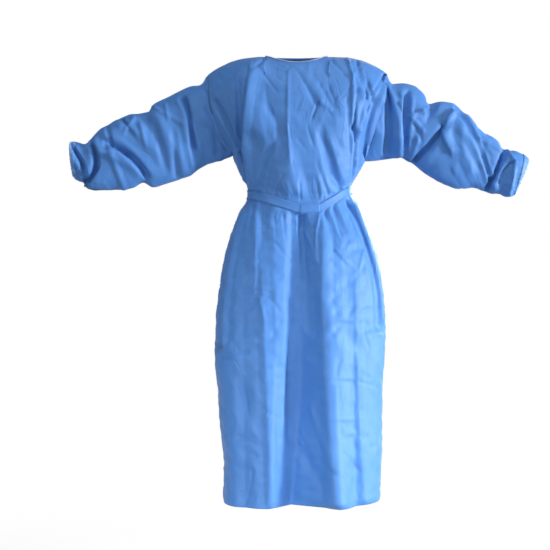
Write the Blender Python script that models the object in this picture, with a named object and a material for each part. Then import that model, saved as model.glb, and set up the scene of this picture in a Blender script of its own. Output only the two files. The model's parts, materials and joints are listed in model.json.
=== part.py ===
"""Isolation gown, worn with the arms held out and built with no wearer inside.

Every panel is a thin cloth wall. The body is lofted through level sections, each sleeve through
rings that stand across the arm, and the folds are soft troughs pressed into those surfaces.
Metres, +Z up, the front faces -Y, and the origin is the middle of the neck opening.
"""

import math

import bpy
import numpy as np
from mathutils import Vector
from mathutils.bvhtree import BVHTree

MM = 0.001

# Driving sizes
CLOTH = 1.6 * MM
SEAM_GAP = 0.3 * MM
TRIM_GAP = 0.3 * MM
TRIM_CLOTH = 1.2 * MM
BELT_WIDTH = 26.0 * MM
PATCH_WIDTH = 51.0 * MM
PATCH_CENTRE = 27.0 * MM
PATCH_TUCK = 7.0 * MM
BINDING_WIDTH = 8.0 * MM
CUFF_WIDTH = 12.0 * MM
BACK_LIFT = 3.2 * MM
TAB_SIZE = (42.0 * MM, 24.0 * MM)
TAB_DROP = 26.0 * MM
STIFFNESS = 9.0 * MM
TAB_INSET = 3.0 * MM
KNOT_SIZE = (36.0 * MM, 15.0 * MM, 27.0 * MM)
KNOT_SEAT = 8.0 * MM
TAIL_LENGTHS = (300.0 * MM, 262.0 * MM)
TAIL_SPREAD = (-34.0 * MM, 26.0 * MM)
TAIL_START = 0.6 * BELT_WIDTH
TAIL_DROP = 1.5 * MM

# Colour and roughness of the cloth, the doubled cloth of belt and binding, and the elastic edges
CLOTH_LOOK = ((0.10, 0.25, 0.60), 0.62)
BELT_LOOK = ((0.09, 0.23, 0.58), 0.60)
ELASTIC_LOOK = ((0.30, 0.45, 0.75), 0.70)
SHARP_ANGLE = math.radians(40)

# Grid of the cloth
BODY_COLUMNS = 32
SHOULDER_COLUMNS = 10
BACK_LAP_COLUMNS = 3
KNOT_PARTING = 0.02
ARMHOLE_STEPS = 9
TOP_STEP_ANGLE = 0.15
RING_SPACING = 21.0 * MM
TAB_GRID = (5, 4)
TAIL_GRID = (26, 4)
CURVE_STEPS = 241
SAME_PLACE = 0.02 * MM

# Shape of the body: how its sections grow squarer down the skirt, how far from a seam its folds fade,
# and how the chest fills out above the underarm and rounds over to the shoulders
SECTION_ROUNDNESS = (2.3, 2.9)
ROUNDNESS_RUN = 240.0 * MM
SEAM_CALM = 0.6
CHEST_BLEND = 0.45
CHEST_CORNER = 0.27
CHEST_CALM = 0.12
CHEST_CROWDING = 1.35
CHEST_ROUNDING = (0.5, 0.95)
NECK_ROUND = 95.0 * MM
NECK_CALM = 60.0 * MM
TOP_LEVEL = 0.985

# Level sections of the body in millimetres, from the hem up: the height at the left side seam, how much
# higher the section lies at the right one, the two side seams, and the depth to the front and the back
SECTION_NAMES = ("height", "tilt", "left", "right", "front", "back")
BODY_SECTIONS = (
    (-1228, 9, -209, 222, 160, 146),
    (-1134, 4, -209, 226, 160, 146),
    (-1051, 0, -216, 227, 161, 145),
    (-937, 0, -224, 229, 162, 144),
    (-842, 0, -233, 233, 162, 143),
    (-726, 0, -231, 237, 158, 139),
    (-625, 0, -219, 227, 150, 133),
    (-556, 2, -207, 215, 141, 126),
    (-512, 4, -195, 203, 133, 119),
    (-473, 7, -181, 186, 125, 111),
    (-434, 11, -165, 167, 115, 102),
    (-403, 14, -148, 148, 108, 94),
    (-384, 14, -141, 142, 105, 90),
    (-361, 8, -145, 144, 108, 92),
    (-339, 0, -157, 153, 113, 96),
    (-317, -7, -167, 163, 116, 99),
    (-294, -12, -175, 174, 118, 102),
    (-275, -16, -182, 182, 119, 104),
)
BELT_HEIGHT = -384 * MM
BELT_DIP_FRONT = -50 * MM
BELT_RISE_BACK = 14 * MM
BELT_STRAIGHT = 0.75
BELT_REACH = 120 * MM
BELT_CALM = 20 * MM
SKIRT_HEIGHTS = (-1228, -1150, -1073, -995, -917, -838, -760, -682, -610, -545, -492, -450, -421)
BODICE_HEIGHTS = (-350, -322, -297)

# Depth of the chest above the underarm, in millimetres
CHEST_NAMES = ("height", "front", "back")
CHEST_DEPTHS = ((-300, 119, 104), (-220, 119, 108), (-150, 115, 107), (-80, 106, 100), (0, 92, 90))

# The neck opening, an ellipse that dips in front
NECK_CENTRE = -7 * MM
NECK_HALF_WIDTH = 86 * MM
NECK_FRONT = 66 * MM
NECK_BACK = 58 * MM
NECK_DIP = 26 * MM
NECK_RISE = 5 * MM
SHOULDER_DROP_POWER = 2.4

# Rings of the sleeves in millimetres, from the armhole to the cuff: where a ring's highest and lowest
# points lie seen from the front, its depth to the front and to the back, and how far its front bows right
RING_NAMES = ("top_x", "top_z", "bottom_x", "bottom_z", "front", "back", "bow")
LEFT_RINGS = (
    (-256, -52, -182, -275, 60, 58, -6),
    (-276, -79, -214, -286, 59, 55, -4),
    (-300, -83, -250, -297, 56, 52, 0),
    (-333, -94, -290, -318, 54, 50, 0),
    (-368, -112, -330, -339, 53, 49, 0),
    (-401, -130, -372, -353, 52, 48, 0),
    (-420, -152, -405, -362, 50, 47, 0),
    (-446, -157, -432, -350, 50, 46, 0),
    (-477, -163, -462, -364, 51, 46, 0),
    (-506, -175, -494, -369, 50, 46, 0),
    (-533, -191, -527, -369, 49, 45, 0),
    (-556, -209, -561, -367, 46, 43, 0),
    (-577, -232, -586, -364, 42, 40, 0),
    (-596, -244, -600, -347, 36, 35, 0),
    (-618, -239, -616, -340, 39, 37, 0),
    (-636, -238, -628, -331, 35, 33, 0),
)
RIGHT_RINGS = (
    (244, -46, 182, -291, 60, 58, -17),
    (262, -76, 214, -288, 59, 55, -10),
    (290, -77, 246, -284, 57, 53, -3),
    (320, -85, 280, -281, 54, 50, 0),
    (348, -106, 312, -294, 52, 48, 0),
    (362, -130, 341, -316, 50, 47, 0),
    (390, -125, 372, -337, 52, 48, 0),
    (425, -130, 410, -353, 52, 48, 0),
    (455, -155, 446, -363, 51, 47, 0),
    (486, -184, 482, -361, 50, 46, 0),
    (518, -214, 512, -371, 48, 45, 0),
    (550, -232, 541, -380, 44, 42, 0),
    (572, -258, 556, -378, 37, 36, 0),
    (596, -262, 574, -388, 41, 39, 0),
    (619, -272, 593, -383, 38, 36, 0),
    (638, -286, 603, -367, 33, 32, 0),
)
RING_TAPER = 0.30
SLEEVE_CALM = 0.6
SLEEVE_END_CALM = 14 * MM
CUFF_LIVE = 4 * MM

# Folds in millimetres, on the front and the back: from (x1, z1) to (x2, z2) as seen from the front, how far
# the line bows to the right, the widths of its left and right flanks at either end, its depth at either
# end (a ridge is positive), and how sharp its crease is
FOLD_NAMES = ("x1", "z1", "x2", "z2", "bow")
FOLD_NAMES += ("left1", "right1", "left2", "right2", "depth1", "depth2", "crisp")
FRONT_FOLDS = {
    "centre valley": (8, -452, -30, -1300, 6, 72, 60, 56, 104, -4, -66, 0.7),
    "centre pleat": (4, -440, 20, -720, 2, 12, 14, 18, 50, -15, -4, 0.5),
    "right knee": (84, -520, 102, -1300, 0, 44, 70, 34, 66, 3, 36, 0.2),
    "left belt gather": (-92, -420, -88, -650, 0, 14, 26, 16, 28, -10, -3, 0.3),
    "right belt gather": (64, -428, 94, -545, 4, 12, 13, 14, 14, -11, -3, 0.3),
    "right belt tuck": (92, -424, 120, -500, 0, 11, 11, 14, 14, -9, -2, 0.3),
    "right hip tuck": (134, -404, 222, -740, 22, 14, 10, 26, 12, -13, -15, 0.4),
    "left hip tuck": (-152, -404, -218, -790, -20, 16, 9, 20, 12, -12, -17, 0.4),
    "right thigh trough": (138, -560, 150, -1300, 0, 28, 20, 32, 24, -2, -11, 0.6),
    "left thigh trough": (-150, -560, -150, -1300, 0, 24, 30, 26, 36, -2, -9, 0.4),
    "left chest edge": (-124, -16, -150, -352, -26, 32, 12, 30, 12, -7, -14, 0.4),
    "right chest edge": (164, -20, 160, -345, 20, 12, 18, 14, 28, -8, -13, 0.3),
    "right chest ridge": (150, -56, 146, -320, 4, 11, 11, 12, 12, 6, 5, 0.3),
    "yoke trough": (-22, -34, 40, -180, 14, 15, 20, 14, 22, -3, -8, 0.5),
    "waist tuck left": (-108, -362, -74, -270, 4, 16, 18, 18, 18, -11, -2, 0.3),
    "waist tuck right": (112, -360, 62, -226, 6, 14, 22, 16, 26, -11, -2, 0.3),
    "left sleeve head": (-316, -128, -297, -296, 5, 15, 14, 15, 14, -12, -5, 0.4),
    "left sleeve ridge": (-322, -166, -300, -300, 0, 12, 12, 12, 14, 3, 7, 0.3),
    "left sleeve diagonal": (-540, -240, -428, -330, 16, 14, 20, 16, 16, -13, -11, 0.4),
    "left sleeve swell": (-545, -268, -440, -346, 14, 14, 13, 14, 14, 7, 6, 0.2),
    "left sleeve star": (-490, -184, -458, -222, 0, 14, 14, 14, 14, -8, -3, 0.4),
    "left elbow notch": (-424, -166, -404, -226, 0, 16, 16, 16, 16, -10, -2, 0.3),
    "left wrist fold": (-578, -242, -592, -352, 26, 14, 11, 14, 11, -13, -13, 0.4),
    "left cuff fold": (-636, -242, -592, -350, 10, 10, 11, 9, 11, -7, -9, 0.5),
    "right sleeve head": (240, -104, 248, -262, 2, 18, 20, 18, 18, -12, -10, 0.3),
    "right sleeve ridge": (280, -108, 281, -262, 0, 14, 14, 14, 14, 9, 6, 0.3),
    "right sleeve crease": (300, -108, 294, -244, 0, 11, 12, 11, 12, -8, -4, 0.4),
    "right elbow notch": (366, -148, 334, -196, 6, 16, 16, 16, 14, -11, -3, 0.4),
    "right sleeve diagonal": (400, -204, 316, -294, 4, 18, 10, 16, 10, -14, -12, 0.5),
    "right sleeve bend": (430, -158, 426, -264, -24, 16, 14, 14, 14, 9, 5, 0.3),
    "right forearm trough": (438, -146, 530, -340, 12, 14, 16, 14, 16, -4, -7, 0.4),
    "right wrist fold": (566, -268, 524, -366, -2, 12, 12, 12, 13, -13, -13, 0.4),
    "right cuff fold": (592, -296, 554, -350, 0, 9, 10, 9, 10, -6, -3, 0.5),
}
BACK_FOLDS = {
    "back valley": (-62, -420, -84, -1300, 8, 34, 46, 40, 62, -8, -40, 0.5),
    "back left trough": (-142, -410, -170, -1300, -6, 24, 28, 26, 34, -8, -20, 0.4),
    "back right trough": (92, -420, 124, -1300, 6, 34, 30, 46, 32, -9, -34, 0.5),
    "back right ridge": (156, -440, 180, -1300, 4, 20, 20, 26, 24, 5, 10, 0.2),
    "back waist left": (-84, -352, -112, -180, 0, 20, 20, 22, 22, -12, -3, 0.3),
    "back waist right": (78, -352, 106, -170, 0, 20, 20, 22, 22, -12, -3, 0.3),
    "back left blade": (-168, -80, -152, -330, 6, 26, 18, 26, 18, -7, -13, 0.3),
    "back right blade": (162, -80, 150, -330, -6, 18, 26, 18, 26, -7, -13, 0.3),
    "back left head": (-312, -126, -290, -286, 0, 16, 16, 16, 16, -10, -7, 0.3),
    "back left elbow": (-456, -196, -410, -330, 6, 18, 18, 18, 18, -11, -8, 0.4),
    "back left wrist": (-580, -248, -584, -352, 10, 13, 13, 13, 13, -11, -12, 0.4),
    "back right head": (278, -112, 262, -268, 0, 16, 16, 16, 16, -10, -7, 0.3),
    "back right elbow": (424, -166, 374, -312, 6, 18, 18, 18, 18, -11, -8, 0.4),
    "back right wrist": (564, -270, 528, -362, 4, 13, 13, 13, 13, -11, -12, 0.4),
}


def columns_of(names, rows):
    """A table in millimetres as one array of metres for each named column."""
    return {name: np.array([row[i] for row in rows], float) * MM for i, name in enumerate(names)}


def smooth_step(share):
    share = np.clip(share, 0.0, 1.0)
    return share * share * (3 - 2 * share)


def curve(places, values, at):
    """A smooth curve through a table's column that never overshoots it, read at some places."""
    steps = np.diff(places)
    slopes = np.diff(values) / steps
    product = slopes[:-1] * slopes[1:]
    middle = np.where(product > 0, 2 * product / np.where(product > 0, slopes[:-1] + slopes[1:], 1), 0)
    tangents = np.concatenate([slopes[:1], middle, slopes[-1:]])
    at = np.clip(at, places[0], places[-1])
    i = np.clip(np.searchsorted(places, at, side="right") - 1, 0, len(steps) - 1)
    t = (at - places[i]) / steps[i]
    from_start = values[i] * (1 + 2 * t) * (1 - t) ** 2 + tangents[i] * steps[i] * t * (1 - t) ** 2
    return from_start + values[i + 1] * t * t * (3 - 2 * t) + tangents[i + 1] * steps[i] * t * t * (t - 1)


BODY = columns_of(SECTION_NAMES, BODY_SECTIONS)
CHEST = columns_of(CHEST_NAMES, CHEST_DEPTHS)
FOLDS = {"front": FRONT_FOLDS, "back": BACK_FOLDS}
OUTWARD = {"front": -1, "back": 1}


def fold_depth(side, x, z):
    """How far the folds of one side press the cloth outwards at points seen from the front."""
    total = np.zeros(np.broadcast(x, z).shape)
    for row in FOLDS[side].values():
        fold = dict(zip(FOLD_NAMES, row))
        start = np.array([fold["x1"], fold["z1"]]) * MM
        run = np.array([fold["x2"], fold["z2"]]) * MM - start
        length = np.linalg.norm(run)
        run = run / length
        along = ((x - start[0]) * run[0] + (z - start[1]) * run[1]) / length
        share = np.clip(along, 0.0, 1.0)
        # A line that runs down the garment has its left flank where this is negative
        aside = (z - start[1]) * run[0] - (x - start[0]) * run[1]
        aside = aside - fold["bow"] * MM * 4 * share * (1 - share)
        left = fold["left1"] + (fold["left2"] - fold["left1"]) * share
        right = fold["right1"] + (fold["right2"] - fold["right1"]) * share
        away = np.clip(np.abs(aside) / (np.where(aside < 0, left, right) * MM), 0, 1)
        across = (1 - fold["crisp"]) * (0.5 + 0.5 * np.cos(math.pi * away)) + fold["crisp"] * (1 - away)
        past = np.abs(along - share) * length / ((left + right) * MM)
        depth = fold["depth1"] + (fold["depth2"] - fold["depth1"]) * share
        total = total + depth * MM * across * smooth_step(1 - past)
    return total


def outward_normals(x, y, sign):
    """Level directions out of a row of points that runs from left to right."""
    across, along = np.gradient(x), np.gradient(y)
    size = np.hypot(across, along)
    return -sign * along / size, sign * across / size


def section_curve(left, right, depth, roundness):
    """Half of a level section, from the left seam to the right one: x and how far it stands out."""
    turn = np.linspace(0, math.pi, CURVE_STEPS)
    power = 2 / roundness
    across = np.sign(np.cos(turn)) * np.abs(np.cos(turn)) ** power
    x = (left + right) / 2 - (right - left) / 2 * across
    out = depth * np.clip(np.sin(turn), 0, 1) ** power
    run = np.concatenate([[0], np.cumsum(np.hypot(np.diff(x), np.diff(out)))])
    at = np.linspace(0, run[-1], BODY_COLUMNS + 1)
    return np.interp(at, run, x), np.interp(at, run, out)


def belt_shift(side, x, left, right):
    """How far the belt lies above its height at the seams: it dips to the patch, and rises behind."""
    if side == "back":
        share = 1 - np.abs(2 * (x - left) / (right - left) - 1)
        return BELT_RISE_BACK * smooth_step(share)
    reach = np.where(x < PATCH_CENTRE, PATCH_CENTRE - left, right - PATCH_CENTRE)
    share = 1 - (np.abs(x - PATCH_CENTRE) - PATCH_WIDTH / 2) / (reach - PATCH_WIDTH / 2)
    share = np.clip(share, 0, 1)
    return BELT_DIP_FRONT * (BELT_STRAIGHT * share + (1 - BELT_STRAIGHT) * smooth_step(share))


def body_row(side, height, folded=True):
    """One row of the body below the underarm, from the left seam to the right one."""
    size = {name: float(curve(BODY["height"], BODY[name], height)) for name in SECTION_NAMES[1:]}
    low = smooth_step((BELT_HEIGHT - height) / ROUNDNESS_RUN)
    roundness = SECTION_ROUNDNESS[0] + (SECTION_ROUNDNESS[1] - SECTION_ROUNDNESS[0]) * low
    x, out = section_curve(size["left"], size["right"], size[side], roundness)
    share = (x - size["left"]) / (size["right"] - size["left"])
    near_belt = math.exp(-(((height - BELT_HEIGHT) / BELT_REACH) ** 2))
    z = height + size["tilt"] * share + belt_shift(side, x, size["left"], size["right"]) * near_belt
    y = OUTWARD[side] * out
    if folded:
        free = smooth_step((abs(height - BELT_HEIGHT) - BELT_WIDTH / 2) / BELT_CALM)
        depth = fold_depth(side, x, z) * free * smooth_step(out / size[side] / SEAM_CALM)
        out_x, out_y = outward_normals(x, y, OUTWARD[side])
        x, y = x + out_x * depth, y + out_y * depth
    return np.stack([x, y, z], axis=1)


def ring_turn():
    """Angles down half a ring, from its highest point, with a short first step for the edge trim."""
    return np.append(0.0, np.linspace(TOP_STEP_ANGLE, math.pi, ARMHOLE_STEPS + 1))


def ring_points(ring, turn, side):
    """Points round a sleeve's ring, at angles counted from its highest point."""
    top = np.array([ring["top_x"], 0.0, ring["top_z"]])
    bottom = np.array([ring["bottom_x"], 0.0, ring["bottom_z"]])
    depth = ring[side] * (1 - RING_TAPER * (1 - np.cos(turn)) / 2) * np.sin(turn)
    points = (top + bottom) / 2 + np.cos(turn)[:, None] * (top - bottom) / 2
    points[:, 0] += ring["bow"] * np.sin(turn) ** 2 * (side == "front")
    points[:, 1] = OUTWARD[side] * depth
    return points


def armhole(rings, side):
    """The armhole's points on one side of the body, from the underarm up to the shoulder."""
    first = {name: column[0] for name, column in columns_of(RING_NAMES, rings).items()}
    return ring_points(first, ring_turn()[::-1], side)


def neck_edge(side):
    """The body's top edge on one side: left shoulder, neckline and right shoulder."""
    turn = np.linspace(0, math.pi, BODY_COLUMNS - 2 * SHOULDER_COLUMNS + 1)
    rise = -NECK_DIP if side == "front" else NECK_RISE
    depth = NECK_FRONT if side == "front" else NECK_BACK
    x = NECK_CENTRE - NECK_HALF_WIDTH * np.cos(turn)
    neck = np.stack([x, OUTWARD[side] * depth * np.sin(turn), rise * np.sin(turn) ** 2], axis=1)
    neck[[0, -1], 1] = 0.0
    shoulders = []
    for end, rings in ((neck[0], LEFT_RINGS), (neck[-1], RIGHT_RINGS)):
        tip_x, tip_z = rings[0][0] * MM, rings[0][1] * MM
        share = np.linspace(1, 0, SHOULDER_COLUMNS + 1)[:-1]
        x = end[0] + (tip_x - end[0]) * share
        shoulders.append(np.stack([x, np.zeros(len(x)), tip_z * share**SHOULDER_DROP_POWER], axis=1))
    return np.concatenate([shoulders[0], neck, shoulders[1][::-1]])


def chest_row(side, level, ends, floor, top):
    """A row of the chest at a share of the way up from the underarm, before its folds."""
    evenly = np.linspace(0, 1, BODY_COLUMNS + 1)
    blend = smooth_step(level / CHEST_BLEND)
    under = (floor[:, 0] - floor[0, 0]) / (floor[-1, 0] - floor[0, 0])
    swell = 1 - (1 - np.clip(np.minimum(evenly, 1 - evenly) / CHEST_CORNER, 0, 1)) ** 2
    across = under + (evenly - under) * blend
    full = np.abs(floor[:, 1]) / np.abs(floor[:, 1]).max()
    full = full + (swell - full) * blend
    inside = np.sqrt(np.clip(np.sin(math.pi * evenly), 0, 1))
    end_level = (ends[:, 2] - floor[[0, -1], 2]) / (top[[0, -1], 2] - floor[[0, -1], 2])
    end_level = np.where(evenly < 0.5, end_level[0], end_level[1])
    z = floor[:, 2] + (top[:, 2] - floor[:, 2]) * (end_level + (level - end_level) * inside)
    x = ends[0, 0] + (ends[1, 0] - ends[0, 0]) * across
    x = x + (top[:, 0] - x) * smooth_step(level)
    arm = np.where(evenly < 0.5, np.abs(ends[0, 1]), np.abs(ends[1, 1]))
    out = arm + (curve(CHEST["height"], CHEST[side], z) - arm) * full
    up = np.clip((top[:, 2] - z) / NECK_ROUND, 0, 1)
    neckness = np.abs(top[:, 1]) / np.abs(top[:, 1]).max()
    rounding = CHEST_ROUNDING[0] + (CHEST_ROUNDING[1] - CHEST_ROUNDING[0]) * neckness
    rounded = (1 - (1 - up) ** 2) ** rounding
    out = np.abs(top[:, 1]) + (out - np.abs(top[:, 1])) * rounded
    out[[0, -1]] = np.abs(ends[:, 1])
    return np.stack([x, OUTWARD[side] * out, z], axis=1)


def chest_rows(side):
    """The body's rows above the underarm, which end on the two armholes."""
    floor, top = body_row(side, BODY["height"][-1], folded=False), neck_edge(side)
    left, right = armhole(LEFT_RINGS, side), armhole(RIGHT_RINGS, side)
    evenly = np.linspace(0, 1, BODY_COLUMNS + 1)
    within = smooth_step(np.minimum(evenly, 1 - evenly) / CHEST_CALM)
    steps = len(left) - 1
    rows = []
    for j in range(1, steps):
        ends = np.stack([left[j], right[j]])
        row = chest_row(side, 1 - (1 - j / steps) ** CHEST_CROWDING, ends, floor, top)
        if j == steps - 1:
            edge = chest_row(side, TOP_LEVEL, ends, floor, top) - top
            row = top + edge / np.linalg.norm(edge, axis=1)[:, None] * BINDING_WIDTH
        below = smooth_step((top[:, 2] - row[:, 2]) / NECK_CALM)
        row[:, 1] += OUTWARD[side] * fold_depth(side, row[:, 0], row[:, 2]) * below * within
        row[0], row[-1] = ends
        rows.append(row)
    top[0], top[-1] = left[-1], right[-1]
    return rows + [top]


def body_side(side):
    """The whole front or back as one grid, from the hem up and from left to right."""
    belt = [BELT_HEIGHT - BELT_WIDTH / 2, BELT_HEIGHT, BELT_HEIGHT + BELT_WIDTH / 2]
    heights = [h * MM for h in SKIRT_HEIGHTS] + belt + [h * MM for h in BODICE_HEIGHTS]
    rows = [body_row(side, height) for height in heights + [BODY["height"][-1]]]
    return np.array(rows + chest_rows(side))


def sleeve(rings):
    """A sleeve as a grid of rings, each from its lowest point round the front and the back."""
    table = columns_of(RING_NAMES, rings)
    middle_x = (table["top_x"] + table["bottom_x"]) / 2
    middle_z = (table["top_z"] + table["bottom_z"]) / 2
    places = np.concatenate([[0], np.cumsum(np.hypot(np.diff(middle_x), np.diff(middle_z)))])
    count = round((places[-1] - CUFF_WIDTH) / RING_SPACING) + 1
    stations = np.append(np.linspace(0, places[-1] - CUFF_WIDTH, count), places[-1])
    down = ring_turn()[::-1]
    calm = np.clip(np.sin(down), 0, 1) ** SLEEVE_CALM
    grid = []
    for station in stations:
        ring = {name: float(curve(places, column, station)) for name, column in table.items()}
        to_end = places[-1] - station + CUFF_LIVE
        seam = smooth_step(station / SLEEVE_END_CALM) * smooth_step(to_end / SLEEVE_END_CALM)
        halves = []
        for side in ("front", "back"):
            half = ring_points(ring, down, side)
            depth = fold_depth(side, half[:, 0], half[:, 2]) * calm * seam
            half[:, 1] += OUTWARD[side] * depth
            halves.append(half)
        grid.append(np.concatenate([halves[0], halves[1][-2:0:-1]]))
    return np.array(grid)


def face_normals(grid, closed):
    """Normals of a grid's faces, out of the cloth."""
    after = np.roll(grid, -1, axis=1) if closed else grid[:, 1:]
    before = grid if closed else grid[:, :-1]
    across = after[:-1] - before[:-1] + after[1:] - before[1:]
    up = before[1:] - before[:-1] + after[1:] - after[:-1]
    return np.cross(across, up)


def seam_places(grid):
    """Whole numbers that name a grid's points, the same on every grid that shares a point."""
    return [tuple(place) for place in np.round(grid.reshape(-1, 3) / SAME_PLACE).astype(int)]


def point_normals(grids):
    """Point normals of every grid, shared along the seams where grids have the same points."""
    sums = {}
    for grid, closed in grids:
        faces = face_normals(grid, closed)
        columns = grid.shape[1]
        places = seam_places(grid)
        for r, c in np.ndindex(faces.shape[:2]):
            for row in (r, r + 1):
                for column in (c, (c + 1) % columns):
                    place = places[row * columns + column]
                    sums[place] = sums.get(place, 0) + faces[r, c]
    found = []
    for grid, _ in grids:
        total = np.array([sums[place] for place in seam_places(grid)])
        found.append((total / np.linalg.norm(total, axis=1)[:, None]).reshape(grid.shape))
    return found


def drawn_in(grid, edges):
    """The grid with some of its edges moved in by half the gap that a seam keeps."""
    moved = grid.copy()
    ends = {
        "first_row": (np.s_[0], np.s_[1]),
        "last_row": (np.s_[-1], np.s_[-2]),
        "first_column": (np.s_[:, 0], np.s_[:, 1]),
        "last_column": (np.s_[:, -1], np.s_[:, -2]),
    }
    for edge in edges:
        at, inner = ends[edge]
        towards = grid[inner] - grid[at]
        moved[at] += towards / np.linalg.norm(towards, axis=-1, keepdims=True) * SEAM_GAP / 2
    return moved


def cloth_wall(name, outer, normals, thickness, look, closed=False):
    """A closed wall between an outer grid of points and the same grid moved in by the thickness."""
    rows, columns = outer.shape[:2]
    points = np.concatenate([outer.reshape(-1, 3), (outer - normals * thickness).reshape(-1, 3)])
    steps = columns if closed else columns - 1
    inner = rows * columns

    def corner(row, column, skin=0):
        return skin * inner + row * columns + column % columns

    faces = []
    for r, c in np.ndindex(rows - 1, steps):
        a, b, d, e = corner(r, c), corner(r, c + 1), corner(r + 1, c + 1), corner(r + 1, c)
        if np.linalg.norm(points[a] - points[d]) <= np.linalg.norm(points[b] - points[e]):
            halves = [(a, b, d), (a, d, e)]
        else:
            halves = [(a, b, e), (b, d, e)]
        faces += halves
        faces += [tuple(point + inner for point in reversed(half)) for half in halves]
    edges = []
    for c in range(steps):
        edges += [(corner(0, c + 1), corner(0, c)), (corner(rows - 1, c), corner(rows - 1, c + 1))]
    if not closed:
        for r in range(rows - 1):
            edges += [(corner(r, 0), corner(r + 1, 0)), (corner(r + 1, steps), corner(r, steps))]
    for start, end in edges:
        one_way = np.linalg.norm(points[start] - points[end + inner])
        if one_way <= np.linalg.norm(points[end] - points[start + inner]):
            faces += [(start, end, end + inner), (start, end + inner, start + inner)]
        else:
            faces += [(start, end, start + inner), (end, end + inner, start + inner)]
    mesh = bpy.data.meshes.new(name)
    mesh.from_pydata([tuple(point) for point in points], [], faces)
    return finished(name, mesh, look)


def finished(name, mesh, look):
    """The object that holds a finished mesh, with a material of its own."""
    mesh.materials.append(cloth_material(name, *look))
    mesh.shade_smooth()
    mesh.set_sharp_from_angle(angle=SHARP_ANGLE)
    thing = bpy.data.objects.new(name, mesh)
    bpy.data.collections["isolation_gown"].objects.link(thing)
    return thing


def cloth_material(name, colour, roughness):
    material = bpy.data.materials.new(name)
    material.use_nodes = True
    shader = material.node_tree.nodes["Principled BSDF"]
    shader.inputs["Base Color"].default_value = (*colour, 1.0)
    shader.inputs["Roughness"].default_value = roughness
    shader.inputs["Metallic"].default_value = 0.0
    return material


def trim(name, points, normals, look, lift=0.0, closed=False):
    """A strip that lies on a panel, made from the panel's own points moved out."""
    outer = points + normals * (lift + TRIM_GAP + TRIM_CLOTH)
    return cloth_wall(name, outer, normals, TRIM_CLOTH, look, closed)


def read_along(rows, places):
    """Points of some rows read at column places that need not be whole, round a closed body."""
    count = rows.shape[1]
    low = np.floor(places).astype(int)
    share = (places - low)[None, :, None]
    return rows[:, low % count] * (1 - share) + rows[:, (low + 1) % count] * share


def build_back(back, normals):
    """The two back panels, which lap at the centre with the right one outside; returns that one's grid."""
    first = BODY_COLUMNS // 2 - BACK_LAP_COLUMNS
    last = BODY_COLUMNS // 2 + BACK_LAP_COLUMNS
    under, under_normals = back[:, last::-1], normals[:, last::-1]
    under = drawn_in(under, ("last_column", "last_row"))
    cloth_wall("back_left", under, under_normals, CLOTH, CLOTH_LOOK)
    fade = (last + BACK_LAP_COLUMNS - np.arange(BODY_COLUMNS + 1)) / BACK_LAP_COLUMNS
    lift = BACK_LIFT * smooth_step(fade)
    over = back + normals * lift[None, :, None]
    outside, outside_normals = over[:, : first - 1 : -1], normals[:, : first - 1 : -1]
    outside = drawn_in(outside, ("first_column", "last_row"))
    cloth_wall("back_right", outside, outside_normals, CLOTH, CLOTH_LOOK)
    return over


def build_belt(front, over, front_normals, back_normals):
    """The belt in two lengths, from the patch at the front to the knot at the back, and the patch."""
    rows = [len(SKIRT_HEIGHTS) + i for i in range(3)]
    bridge = np.arange(BODY_COLUMNS + 1) - (BODY_COLUMNS // 2 - 2 * BACK_LAP_COLUMNS)
    bridge = smooth_step(bridge / BACK_LAP_COLUMNS)
    lapped = over[rows] - back_normals[rows] * (BACK_LIFT * (1 - bridge))[None, :, None]
    ring = np.concatenate([front[rows], lapped[:, -2:0:-1]], axis=1)
    ring_normals = np.concatenate([front_normals[rows], back_normals[rows][:, -2:0:-1]], axis=1)
    columns = np.arange(BODY_COLUMNS + 1)
    half = PATCH_WIDTH / 2
    edges = PATCH_CENTRE + np.array([PATCH_TUCK - half, half - PATCH_TUCK, -half, half])
    tucked_left, tucked_right, patch_left, patch_right = np.interp(edges, front[rows[1], :, 0], columns)
    knot = BODY_COLUMNS // 2 - KNOT_PARTING
    spans = {
        "belt_left": (-knot, tucked_left, 0.0),
        "belt_right": (tucked_right, BODY_COLUMNS + knot, 0.0),
        "belt_patch": (patch_left, patch_right, TRIM_GAP + TRIM_CLOTH),
    }
    for name, (start, stop, lift) in spans.items():
        places = np.array([start, *range(math.ceil(start), math.floor(stop) + 1), stop])
        trim(name, read_along(ring, places), read_along(ring_normals, places), BELT_LOOK, lift)


def build_binding(front, back, over, front_normals, back_normals):
    """The strip round the neckline, from the lap's edge on the left back round to the outer back's edge."""
    left, right = SHOULDER_COLUMNS, BODY_COLUMNS - SHOULDER_COLUMNS
    lap = BODY_COLUMNS // 2 - BACK_LAP_COLUMNS
    points = [
        back[-2:, lap - 1 : left : -1],
        front[-2:, left : right + 1],
        over[-2:, right - 1 : lap - 1 : -1],
    ]
    normals = [
        back_normals[-2:, lap - 1 : left : -1],
        front_normals[-2:, left : right + 1],
        back_normals[-2:, right - 1 : lap - 1 : -1],
    ]
    points, normals = np.concatenate(points, axis=1), np.concatenate(normals, axis=1)
    # Beside the neck the strip lies along the shoulder seam
    for corner, beyond in ((left, left - 1), (right, right + 1)):
        seam = front[-1, beyond] - front[-1, corner]
        place = lap - 1 - left + corner - left
        points[0, place] = front[-1, corner] + seam / np.linalg.norm(seam) * BINDING_WIDTH
        normals[0, place] = front_normals[-1, corner]
    trim("neck_binding", points, normals, BELT_LOOK)


def laid_on(tree, x, z, lift):
    """A grid of points that lies on the back of the gown, at some places seen from the front."""
    points = np.zeros((*x.shape, 3))
    for place in np.ndindex(x.shape):
        hits = []
        for aside in (-STIFFNESS, 0.0, STIFFNESS):
            start = Vector((x[place] + aside, 1.0, z[place]))
            hit, normal, _, _ = tree.ray_cast(start, Vector((0, -1, 0)))
            hits.append((hit.y, normal))
        y, normal = max(hits, key=lambda found: found[0])
        points[place] = Vector((x[place], y, z[place])) + normal * lift
    return points


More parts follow.
